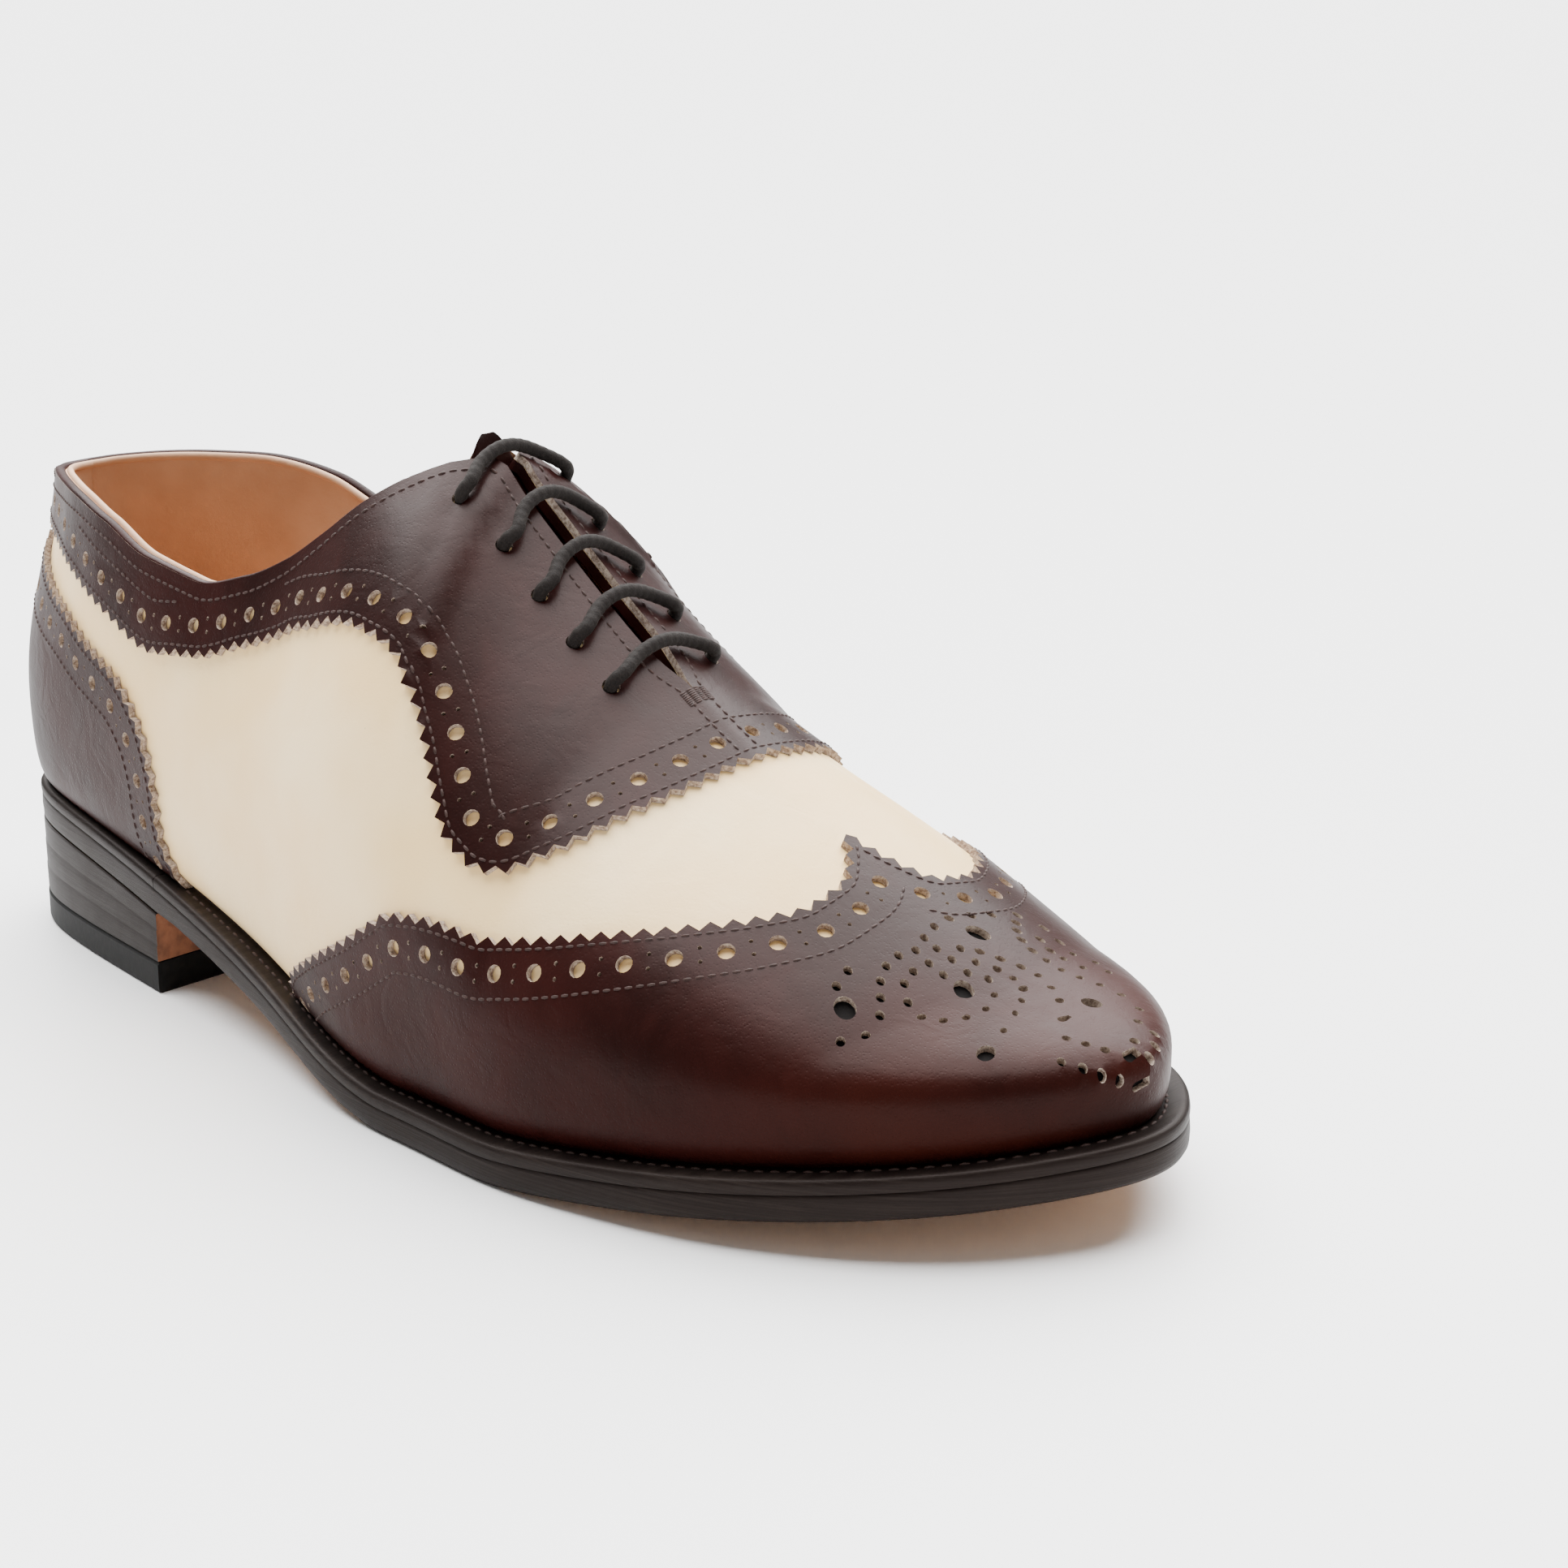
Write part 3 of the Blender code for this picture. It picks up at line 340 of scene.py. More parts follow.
# Creases: column, share up it, direction in degrees from level, length and width, depth, in mm
CREASES = np.array([
    (-0.640, 0.70, 62, 16, 1.7, 0.30), (-0.652, 0.74, 66, 14, 1.5, 0.24), (-0.627, 0.66, 58, 12, 1.5, 0.20),
    (-0.615, 0.42, 40, 13, 1.6, 0.16), (-0.552, 0.90, 20, 15, 1.6, 0.20), (-0.540, 0.87, 14, 13, 1.4, 0.16),
    (-0.530, 0.92, -8, 14, 2.0, 0.20), (-0.430, 0.60, 30, 12, 1.3, 0.16),
    (-0.415, 0.56, 22, 9, 1.2, 0.12), (-0.300, 0.88, 4, 14, 1.6, 0.14), (-0.610, 0.93, 70, 10, 1.4, 0.16),
    (0.640, 0.72, 62, 15, 1.7, 0.28), (0.655, 0.70, 66, 13, 1.5, 0.22), (0.610, 0.45, 40, 12, 1.6, 0.16),
    (0.545, 0.88, 18, 14, 1.6, 0.18), (0.520, 0.88, -8, 13, 1.6, 0.20), (0.420, 0.58, 26, 11, 1.3, 0.14),
])


def column_points(line, v):
    """Points at the shares v along each line, by the length of the way."""
    along = np.cumsum(np.linalg.norm(np.diff(line, axis=1, prepend=line[:, :1]), axis=2), 1)
    length = along[:, -1]
    along = along / along[:, -1:]
    i = np.clip((along[:, None, :] <= v[None, :, None]).sum(-1) - 1, 0, line.shape[1] - 2)
    low, high = np.take_along_axis(along, i, 1), np.take_along_axis(along, i + 1, 1)
    t = ((v[None, :] - low) / (high - low))[..., None]
    start = np.take_along_axis(line, i[..., None], 1)
    end = np.take_along_axis(line, i[..., None] + 1, 1)
    return start + (end - start) * t, length


def grid_normals(points):
    """The cross product of the way up and the way round. Along the ridge both sides share one normal."""
    ring = np.concatenate([points[-2:-1], points, points[1:2]])
    along = ring[2:] - ring[:-2]
    normals = unit(np.cross(np.gradient(points, axis=1), along))
    u = np.minimum(np.abs(GRID_W), RIDGE_END)
    ahead, before = top_edge(u - 0.001), top_edge(u - 0.004)
    rise = (ahead - before)[:, 2] / (ahead - before)[:, 0]
    over = unit(np.stack([-rise, 0 * rise, 1 + 0 * rise], -1))[:, None]
    share = ease((np.abs(GRID_W) - THROAT + 0.012) / 0.012)[:, None] * ease((GRID_V[None] - 0.93) / 0.07)
    return unit(normals + (over - normals) * share[..., None])


def creases(points, normals):
    """Each crease is a soft trough with a low ridge on either side, fading out at its ends."""
    depth = np.zeros(points.shape[:2])
    for w, v, turn, length, width, deep in CREASES:
        j, i = int(round((w + 1) / 2 * ACROSS)), int(round(v * UPWARD))
        centre, normal = points[j, i], normals[j, i]
        level = unit(np.cross(np.array([0.0, 0.0, 1.0]), normal))
        along = level * np.cos(np.radians(turn)) + np.cross(normal, level) * np.sin(np.radians(turn))
        away = points - centre
        run, side = away @ along / (length * MM / 2), away @ np.cross(normal, along) / (width * MM)
        near = np.exp(-((away @ normal) / (20 * MM)) ** 2)
        side = side + 0.5 * np.sin(run * 2.1)
        depth -= deep * MM * (1 - 0.7 * side ** 2) * np.exp(-side ** 2 / 1.4 - run ** 2) * near
    return depth


BARE, COLUMN_LENGTH = column_points(column_lines(GRID_W), GRID_V)
BARE = BARE - ORIGIN
LAST_NORMAL = grid_normals(BARE)
LAST = BARE + LAST_NORMAL * creases(BARE, LAST_NORMAL)[..., None]
print("leather grid", LAST.shape, "longest column", round(float(COLUMN_LENGTH.max() / MM), 1), "mm")


def read_grid(values, w, v):
    """The grid's values between its points. Above 1, v goes on over the ridge, down the other side."""
    w, v = np.asarray(w, float), np.asarray(v, float)
    w = np.where(v > 1, -w, w)
    v = np.clip(np.where(v > 1, 2 - v, v), 0, 1)
    x = ((w + 1) % 2) / 2 * ACROSS
    y = v * UPWARD
    j, i = np.minimum(x.astype(int), ACROSS - 1), np.minimum(y.astype(int), UPWARD - 1)
    s, t = (x - j)[..., None], (y - i)[..., None]
    low = values[j, i] * (1 - s) + values[j + 1, i] * s
    high = values[j, i + 1] * (1 - s) + values[j + 1, i + 1] * s
    return low * (1 - t) + high * t


def leather(path, height=0.0):
    """Places on the leather at (w, v), moved out by height."""
    at, normal = read_grid(LAST, path[..., 0], path[..., 1]), leather_normal(path)
    return at + normal * np.reshape(height, np.shape(height) + (1,) * (at.ndim - np.ndim(height)))


def leather_normal(path):
    return unit(read_grid(LAST_NORMAL, path[..., 0], path[..., 1]))


def column_length(w):
    return np.interp(((w + 1) % 2) - 1, GRID_W, COLUMN_LENGTH)


# %% [markdown]
# Patterns are drawn on the leather in millimetres, as a cutter draws them. A step on the surface is turned
# into a step in (w, v) by the two directions in which w and v run there, with a 2 by 2 system for each
# point. With it a line can be moved sideways, and a hole keeps its true size.


# %% Drawing on the leather
# Rough metres for one unit of w and of v, on the sides of the shoe
CHART_SCALE = np.array([0.34, 0.09])


def surface_step(path, step):
    """The change in (w, v) that moves points on the leather by the vectors step."""
    tiny = np.array([0.0015, 0.005])
    low, high = path - tiny, path + tiny
    w, v = path[:, 0], path[:, 1]
    by_w = read_grid(LAST, high[:, 0], v) - read_grid(LAST, low[:, 0], v)
    by_v = read_grid(LAST, w, np.minimum(high[:, 1], 1)) - read_grid(LAST, w, np.maximum(low[:, 1], 0))
    by_w = by_w / (high - low)[:, :1]
    by_v = by_v / (np.minimum(high[:, 1:], 1) - np.maximum(low[:, 1:], 0))
    ww, wv, vv = (by_w * by_w).sum(1), (by_w * by_v).sum(1), (by_v * by_v).sum(1)
    w_step, v_step = (by_w * step).sum(1), (by_v * step).sum(1)
    area = np.maximum(ww * vv - wv * wv, 1e-12)
    return np.stack([(vv * w_step - wv * v_step) / area, (ww * v_step - wv * w_step) / area], -1)


def even(path, pitch, multiple=1, phase=0.0):
    """The path with its points about a pitch apart on the leather, in a multiple of some number of steps."""
    run = distances(leather(path))
    count = max(int(round(run[-1] / pitch / multiple)), 1) * multiple
    places = (np.arange(count + (phase == 0)) + phase) * run[-1] / count
    return np.stack([np.interp(places, run, path[:, k]) for k in (0, 1)], -1)


def trace(points, pitch=0.0008):
    """A smooth path through a few points (w, v)."""
    run = distances(points * CHART_SCALE)
    fine = np.linspace(0, run[-1], 1200)
    return even(np.stack([steady_curve(run, points[:, k])(fine) for k in (0, 1)], -1), pitch)


def sideways(path):
    """Unit vectors on the leather, at right angles to the path: the normal crossed with the way along."""
    return unit(np.cross(leather_normal(path), np.gradient(leather(path), axis=0)))


def shifted(path, distance):
    """The path moved sideways in short steps, without the loops that a tight bend makes."""
    moved, steps = path, max(int(abs(distance) / 0.0015), 1)
    for _ in range(steps):
        moved = moved + surface_step(moved, sideways(moved) * distance / steps)
        moved[:, 1] = np.clip(moved[:, 1], 0, 1)
    return moved[nearest(leather(moved), leather(path)) > abs(distance) * 0.93]


def rings(centres, radius, sides):
    """Round holes of a true radius on the leather, each a row of points (w, v)."""
    normal = leather_normal(centres)
    level = unit(np.cross(normal, np.array([0.3, 0.1, 1.0])))
    step = circles(level, np.cross(normal, level), sides)
    spots = np.repeat(centres, sides, 0)
    return (spots + surface_step(spots, step.reshape(-1, 3) * radius)).reshape(len(centres), sides, 2)


# %% [markdown]
# Finishes. Each is a Principled shader fed by procedural patterns in object coordinates. Shader maths reads
# as plain arithmetic, because one small class adds the Math nodes.


# %% A small language for materials
class Value:
    """A number, colour or vector inside a material. Arithmetic on it adds Math nodes."""

    def __init__(self, finish, socket):
        self.finish, self.socket = finish, socket

    def math(self, operation, *terms):
        return self.finish.node("Math", {"operation": operation}, dict(enumerate(terms)))

    def __add__(self, other):
        return self.math("ADD", self, other)

    def __sub__(self, other):
        return self.math("SUBTRACT", self, other)

    def __rsub__(self, other):
        return self.math("SUBTRACT", other, self)

    def __mul__(self, other):
        return self.math("MULTIPLY", self, other)

    __radd__, __rmul__ = __add__, __mul__

    def rising(self, low, high):
        """0 below low, 1 above high, and smooth between them."""
        settings = {"interpolation_type": "SMOOTHSTEP"}
        return self.finish.node("MapRange", settings, {0: self, 1: low, 2: high, 3: 0.0, 4: 1.0})


class Finish:
    """A material: its Principled shader's fixed sockets are set first, and patterns feed the others."""

    def __init__(self, name, **fixed):
        self.material = bpy.data.materials.new(name)
        self.material.use_nodes = True
        self.tree = self.material.node_tree
        self.shader = self.tree.nodes["Principled BSDF"]
        self.set(**fixed)

    def set(self, **sockets):
        for name, value in sockets.items():
            self.feed(self.shader.inputs[name.replace("_", " ")], value)

    def feed(self, socket, value):
        if isinstance(value, Value):
            self.tree.links.new(value.socket, socket)
        else:
            socket.default_value = value

    def node(self, kind, settings=(), inputs=(), output=0):
        made = self.tree.nodes.new("ShaderNode" + kind)
        for key, value in dict(settings).items():
            setattr(made, key, value)
        for key, value in dict(inputs).items():
            self.feed(made.inputs[key], value)
        return Value(self, made.outputs[output])

    def place(self, scale=(1, 1, 1)):
        """Object coordinates, stretched by a scale for each axis."""
        here = self.node("TexCoord", output="Object")
        return self.node("Mapping", inputs={"Vector": here, "Scale": scale})

    def noise(self, scale, detail=3.0, rough=0.5, stretch=(1, 1, 1), bend=0.0):
        inputs = {"Vector": self.place(stretch), "Scale": scale, "Detail": detail, "Roughness": rough,
                  "Distortion": bend}
        return self.node("TexNoise", inputs=inputs)

    def cells(self, scale, feature="F1", stretch=(1, 1, 1)):
        return self.node("TexVoronoi", {"feature": feature}, {"Vector": self.place(stretch), "Scale": scale})

    def axis(self, letter):
        return self.node("SeparateXYZ", inputs={0: self.node("TexCoord", output="Object")}, output=letter)

    def mix(self, share, first, second):
        return self.node("Mix", {"data_type": "RGBA"}, {0: share, 6: first, 7: second}, 2)

    def mark(self, name):
        return self.node("Attribute", {"attribute_name": name}, output="Fac")

    def bump(self, height, depth, strength=1.0, under=None):
        """Relief whose full height is depth, in metres."""
        inputs = {"Height": height, "Distance": depth, "Strength": strength}
        if under is not None:
            inputs["Normal"] = under
        return self.node("Bump", inputs=inputs)


# %% [markdown]
# The brown calf is dark and waxed: a burgundy brown that polish has deepened unevenly, with a painted sheen,
# a lighter and redder brown, low on the toe. Pores and fine breaks are bump, and the wax is a thin coat,
# thickest forward and up.


# %% Calf, cream and brown
def brown_calf():
    calf = Finish("brown calf", Coat_Roughness=0.30, Coat_IOR=1.5, Specular_IOR_Level=0.07,
                  Specular_Tint=(1.0, 0.70, 0.62, 1), Coat_Tint=(1.0, 0.90, 0.88, 1))
    cloud = calf.noise(26, 3)
    streak = calf.noise(70, 4, 0.6, (1, 1, 0.5), 1.2)
    tone = (cloud * 0.7 + streak * 0.3).rising(0.34, 0.68)
    colour = calf.mix(tone, (0.0080, 0.0013, 0.0010, 1), (0.0190, 0.0032, 0.0025, 1))
    # Painted sheen: a lighter, redder brown low on the front of the toe stands in for a highlight there.
    front = calf.axis("X").rising(0.085, 0.135) * (1 - calf.axis("Z").rising(0.030, 0.052))
    painted_sheen = front * cloud.rising(0.3, 0.7)
    colour = calf.mix(painted_sheen * 0.7, colour, (0.026, 0.0042, 0.0020, 1))
    pores = calf.cells(1500).rising(0.0, 0.45)
    breaks = calf.noise(420, 5, 0.65, (1, 1, 1.4), 0.8)
    relief = calf.bump(pores * 0.5 + breaks * 0.5, 0.00012, 0.55)
    soft = calf.bump(calf.noise(120, 3, 0.5, (1, 1, 1), 1.5), 0.0005, 0.35, relief)
    waxed = calf.axis("X").rising(-0.11, -0.03) * calf.axis("Z").rising(0.018, 0.052)
    wax = waxed * (0.09 + cloud * 0.12)
    calf.set(Base_Color=colour, Roughness=0.36 + streak * 0.16, Coat_Weight=wax, Normal=soft)
    return calf.material


def cream_calf():
    """Cream on the outside. Where the mark under_cap is 1 it is dark, for the underlay in the toe's holes."""
    calf = Finish("cream calf", Coat_Roughness=0.3, Coat_IOR=1.4, Specular_IOR_Level=0.2)
    cloud = calf.noise(30, 3)
    colour = calf.mix(cloud.rising(0.3, 0.75), (0.86, 0.590, 0.270, 1), (0.910, 0.690, 0.380, 1))
    specks = calf.noise(900, 2).rising(0.76, 0.82)
    colour = calf.mix(specks * 0.5, colour, (0.50, 0.38, 0.24, 1))
    under = calf.mark("under_cap")
    colour = calf.mix(under, colour, (0.003, 0.002, 0.0018, 1))
    wrinkle = calf.noise(310, 4, 0.6, (0.6, 0.6, 1.5), 1.8)
    pores = calf.cells(1300).rising(0.0, 0.5)
    relief = calf.bump(wrinkle * 0.75 + pores * 0.25, 0.00014, 0.5)
    soft = calf.bump(calf.noise(90, 2, 0.5, (1, 1, 1), 2.0), 0.0006, 0.25, relief)
    calf.set(Base_Color=colour, Roughness=0.42 + wrinkle * 0.12 + under * 0.4,
             Coat_Weight=(0.12 + cloud * 0.1) * (1 - under), Normal=soft)
    return calf.material


def cut_leather():
    """The raw edge of the overlays: fibrous, greyer and lighter than the face."""
    raw = Finish("cut leather edge", Specular_IOR_Level=0.25)
    fibre = raw.noise(1500, 4, 0.7)
    raw.set(Base_Color=raw.mix(fibre.rising(0.3, 0.7), (0.13, 0.085, 0.065, 1), (0.46, 0.38, 0.31, 1)),
            Roughness=0.75 + fibre * 0.15, Normal=raw.bump(fibre, 0.0002, 0.6))
    return raw.material


def lining_calf():
    lining = Finish("tan lining", Specular_IOR_Level=0.3)
    cloud, grain = lining.noise(35, 3), lining.noise(900, 4, 0.6)
    lining.set(Base_Color=lining.mix(cloud.rising(0.3, 0.7), (0.52, 0.30, 0.175, 1), (0.64, 0.40, 0.25, 1)),
               Roughness=0.55 + grain * 0.2, Normal=lining.bump(grain, 0.00015, 0.5))
    return lining.material


BROWN, CREAM, RAW, LINING = brown_calf(), cream_calf(), cut_leather(), lining_calf()
print("leathers", BROWN.name, CREAM.name, RAW.name, LINING.name)

# %% [markdown]
# The sole's edges are stained black-brown, waxed with a hot iron and left with fine level lines from the
# scraper. Thread is waxed linen. The lace is a round braid of waxed cotton with a little fuzz.


# %% Sole edge, rubber, threads and lace
def sole_edge(name, lines=1.0, colour=(0.0050, 0.0030, 0.0026), worn=0.014):
    edge = Finish(name, Coat_Roughness=0.3, Specular_IOR_Level=0.12, Specular_Tint=(1.0, 0.78, 0.70, 1))
    level = edge.noise(1.0, 4, 0.7, (26, 26, 2600))
    scrape = edge.noise(1.0, 3, 0.6, (60, 60, 900))
    blotch = edge.noise(60, 4, 0.6)
    rubbed = (level * 0.6 + blotch * 0.4).rising(0.42, 0.72)
    light = edge.mix(rubbed, (*colour, 1), (worn, worn * 0.72, worn * 0.6, 1))
    relief = edge.bump(level * 0.6 + scrape * 0.4, 0.00022 * lines, 0.7)
    edge.set(Base_Color=light, Roughness=0.42 + blotch * 0.25, Coat_Weight=level * 0.08, Normal=relief)
    return edge.material


def plain_finish(name, colour, roughness, grain=900, depth=0.0001, **fixed):
    """One even material with a fine grain: a darker and a lighter shade of its colour."""
    finish = Finish(name, **fixed)
    fine = finish.noise(grain, 4, 0.6)
    dark, light = (*[c * 0.7 for c in colour], 1), (*[min(c * 1.3, 1) for c in colour], 1)
    finish.set(Base_Color=finish.mix(fine.rising(0.3, 0.7), dark, light), Roughness=roughness + fine * 0.1,
               Normal=finish.bump(fine, depth, 0.6))
    return finish.material


EDGE = sole_edge("stained sole edge")
STACK = sole_edge("stained heel edge", 0.8, (0.0060, 0.0038, 0.0032), 0.011)
RUBBER = plain_finish("black top piece", (0.0060, 0.0056, 0.0054), 0.6, 500, Specular_IOR_Level=0.15)
BREAST = plain_finish("tan heel breast", (0.22, 0.085, 0.040), 0.55, 300)
TREAD = plain_finish("leather tread", (0.36, 0.20, 0.10), 0.5, 260)
THREAD = plain_finish("brown thread", (0.030, 0.014, 0.011), 0.6, 1200, Specular_IOR_Level=0.25)
PALE_THREAD = plain_finish("beige thread", (0.52, 0.42, 0.30), 0.6, 1200)
COTTON = plain_finish("waxed lace", (0.0085, 0.0060, 0.0050), 0.75, 2600, 0.0003, Specular_IOR_Level=0.2,
                      Sheen_Weight=0.04, Sheen_Roughness=0.4, Sheen_Tint=(0.6, 0.45, 0.36, 1))
print("sole and thread finishes", EDGE.name, RUBBER.name, THREAD.name, COTTON.name)

# %% [markdown]
# All pieces become meshes in the same few ways: closed sheets of quads, or triangles from a pattern. The
# object stays at the origin, with its place in its mesh, so that patterns in object coordinates line up.


# %% Meshes
def make(name, points, faces, materials, face_material=None, marks=None, merge=1e-6, sharp=40):
    """A closed mesh from rows of points and faces, its doubles merged and its faces turned outwards."""
    mesh = bpy.data.meshes.new(name)
    mesh.from_pydata(np.asarray(points, float).reshape(-1, 3), [], faces)
    for material in materials:
        mesh.materials.append(material)
    if face_material is not None:
        mesh.polygons.foreach_set("material_index", np.asarray(face_material, np.int32))
    for key, values in (marks or {}).items():
        mesh.attributes.new(key, "FLOAT", "POINT").data.foreach_set("value", np.asarray(values, np.float32))
    body = bmesh.new()
    body.from_mesh(mesh)
    bmesh.ops.remove_doubles(body, verts=body.verts, dist=merge)
    bmesh.ops.dissolve_degenerate(body, edges=body.edges, dist=merge)
    bmesh.ops.recalc_face_normals(body, faces=body.faces)
    open_edges = sum(not edge.is_manifold for edge in body.edges)
    body.to_mesh(mesh)
    body.free()
    mesh.shade_smooth()
    mesh.set_sharp_from_angle(angle=np.radians(sharp))
    item = bpy.data.objects.new(name, mesh)
    bpy.context.scene.collection.objects.link(item)
    triangles = sum(len(polygon.vertices) - 2 for polygon in mesh.polygons)
    print(f"{name}: {triangles} triangles, {open_edges} open edges")
    return item


def finished(piece, slot, *nodes):
    """Fixes a piece to the shoe and hides the solids that it stands for. Its slot is not used."""
    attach(piece, "root")
    if nodes:
        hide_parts(*nodes)
    return piece


def grid_faces(rows, columns, round_about=False):
    """Quads over a grid of points, row after row. If it goes round about, each row is a closed ring."""
    here = np.arange(rows - 1)[:, None] * columns
    i = np.arange(columns if round_about else columns - 1)[None]
    i2 = (i + 1) % columns
    return np.stack([here + i, here + columns + i, here + columns + i2, here + i2], -1).reshape(-1, 4)


def tube_faces(rows, columns):
    """Quads round a tube, and a cap at each end."""
    caps = [list(range(columns)), [(rows - 1) * columns + k for k in range(columns)]]
    return grid_faces(rows, columns, True).tolist() + caps


# %% [markdown]
# Three overlays lie on the cream: the collar and facing, the heel counter and the wing cap. A shoemaker
# scribes their edges on the last by eye. Here each edge is a short table, and a smooth path runs through it.

# %% Edges of the overlays
# Each row is a column, without its side, and the share of the way up it
FACING_EDGE = np.array([
    (0.000, 0.872), (0.100, 0.855), (0.195, 0.825), (0.247, 0.781), (0.300, 0.744), (0.343, 0.731),
    (0.382, 0.775), (0.417, 0.819), (0.448, 0.838), (0.478, 0.831), (0.497, 0.794), (0.512, 0.756),
    (0.527, 0.694), (0.537, 0.650), (0.547, 0.600), (0.557, 0.556), (0.566, 0.494), (0.574, 0.455),
    (0.584, 0.452), (0.592, 0.470), (0.603, 0.525), (0.615, 0.600), (0.625, 0.700), (0.633, 0.810),
    (0.637, 0.919), (0.638, 1.000),
])
COUNTER_EDGE = np.array([
    (0.000, 0.850), (0.050, 0.828), (0.100, 0.780), (0.150, 0.722), (0.203, 0.663), (0.235, 0.635),
    (0.265, 0.594), (0.307, 0.550), (0.325, 0.481), (0.333, 0.400), (0.338, 0.281), (0.339, 0.150),
    (0.346, 0.060), (0.350, 0.000),
])
WING_EDGE = np.array([
    (0.452, 0.000), (0.463, 0.088), (0.475, 0.135), (0.497, 0.194), (0.527, 0.245), (0.583, 0.338),
    (0.633, 0.425), (0.672, 0.530), (0.692, 0.650), (0.699, 0.760), (0.698, 0.870), (0.690, 0.955),
    (0.682, 1.000),
])


def wall_columns(fine):
    """Columns that share the corners of the slit, spaced evenly between them."""
    stops = np.array([0, SLIT_OPENS, THROAT - 0.012, THROAT, RIDGE_END, 1.0])
    u = np.concatenate([np.arange(a, b - fine / 2, (b - a) / np.ceil((b - a) / fine))
                        for a, b in zip(stops[:-1], stops[1:])] + [[1.0]])
    return np.concatenate([-u[::-1], u[1:]])


# %% [markdown]
# Overlays. A cutter pinks the edge into teeth and punches the holes in flat leather. The pattern here is the
# same: a toothed border and round holes, joined into triangles by a constrained Delaunay net in a flat
# chart of the last, then laid on the leather and given its thickness. Cutting the holes with Booleans would
# be slower and would leave long thin faces.

# %% Teeth, holes and seams
TOOTH_PITCH, TOOTH_DEPTH = 3.8 * MM, 1.6 * MM
HOLE_PITCH, HOLE_RADIUS, PINHOLE_RADIUS = 8.6 * MM, 1.55 * MM, 0.42 * MM
EDGE_SEAM, HOLE_ROW, PINHOLE_SPREAD, INNER_SEAM = 1.5 * MM, 5.6 * MM, 1.35 * MM, 9.9 * MM
LAID = GAP + OVERLAY_THICKNESS


def toothed(path):
    """The path as a row of teeth, from valley to valley. Its two ends stay where they are."""
    teeth = even(path, TOOTH_PITCH / 2, 2)
    out = np.where(np.arange(len(teeth)) % 2, 0.5, -0.5) * TOOTH_DEPTH
    out[[0, -1]] = 0
    moved = teeth + surface_step(teeth, sideways(teeth) * out[:, None])
    moved[:, 1] = np.clip(moved[:, 1], 0, 1)
    return moved


def punched(path):
    """The centres of the large holes, and of the pairs of pinholes between them, beside an edge."""
    row = shifted(path, -HOLE_ROW)
    large = even(row, HOLE_PITCH, phase=0.5)
    between = even(row, HOLE_PITCH)[1:-1]
    side = sideways(even(row, HOLE_PITCH))[1:-1] * PINHOLE_SPREAD
    pins = np.concatenate([between + surface_step(between, way) for way in (side, -side)])
    return large, pins


def in_polygon(points, loop):
    """Whether each point is inside the loop: the loop crosses a level ray from it an odd number of times."""
    a, b = loop[None], np.roll(loop, -1, 0)[None]
    x, y = points[:, None, 0], points[:, None, 1]
    spans = (a[..., 1] > y) != (b[..., 1] > y)
    level = np.where(a[..., 1] == b[..., 1], 1.0, b[..., 1] - a[..., 1])
    cross = a[..., 0] + (y - a[..., 1]) / level * (b[..., 0] - a[..., 0])
    return (spans & (x < cross)).sum(1) % 2 == 1


def cut_panel(name, chart, border, holes, filling, low, high, joined=lambda a, b: False):
    """A closed panel over the leather, from height low to high, with a raw edge on its rim and its holes."""
    loops = [border] + [hole for group in holes for hole in group]
    rim = np.concatenate(loops)
    flat_rim, flat_fill = chart(rim), chart(filling)
    spots = leather(filling)
    near = np.full(len(filling), np.inf)
    for part in np.array_split(leather(rim), max(len(rim) // 400, 1)):
        near = np.minimum(near, nearest(spots, part))
    for group in holes:
        hole = leather(group)
        middle = hole.mean(1)
        reach = np.linalg.norm(hole[:, :1] - middle[:, None], axis=2).T
        near = np.minimum(near, (np.linalg.norm(spots[:, None] - middle[None], axis=2) - reach).min(1))
    keep = in_polygon(flat_fill, flat_rim[:len(border)]) & (near > 0.75 * MM)
    flat = np.concatenate([flat_rim, flat_fill[keep]])
    paths = np.concatenate([rim, filling[keep]])
    starts = np.cumsum([0] + [len(loop) for loop in loops])
    sides = np.concatenate([
        np.stack([np.arange(a, b), np.roll(np.arange(a, b), -1)], -1) for a, b in zip(starts, starts[1:])
    ])
    found = delaunay_2d_cdt([Vector(p) for p in flat], sides.tolist(), [], 1, 1e-7)
    origin = np.array([first[0] if first else -1 for first in found[3]])
    triangles = origin[np.array(found[2])]
    which = np.full(len(flat), -1)
    which[:len(rim)] = np.repeat(np.arange(len(loops)), np.diff(starts))
    owner = which[triangles]
    in_hole = (owner[:, 0] > 0) & (owner == owner[:, :1]).all(1)
    triangles = triangles[~in_hole & (triangles >= 0).all(1)]
    inside = in_polygon(flat[triangles].mean(1), flat[:len(border)])
    triangles = triangles[inside]
    back = len(paths)
    walls = np.array([[a, b, b + back, a + back] for a, b in sides if not joined(paths[a], paths[b])])
    points = np.concatenate([leather(paths, high), leather(paths, low)])
    faces = triangles.tolist() + (triangles[:, ::-1] + back).tolist() + walls.tolist()
    kinds = np.concatenate([np.zeros(2 * len(triangles)), np.ones(len(walls))])
    return make(name, points, faces, [BROWN, RAW], kinds, merge=2e-6)


def stitch_row(paths, pitch=2.05 * MM, size=(1.85 * MM, 0.62 * MM), height=LAID, sink=0.04 * MM):
    """Points of the stitches along some paths: each a short capsule that dips at both ends."""
    rows = [even(path, pitch, phase=0.5) for path in paths]
    spots = np.concatenate([leather(row, height) for row in rows])
    along = np.concatenate([unit(np.gradient(leather(row), axis=0)) for row in rows])
    normal = np.concatenate([leather_normal(row) for row in rows])
    return capsules(spots, along, normal, size, sink)


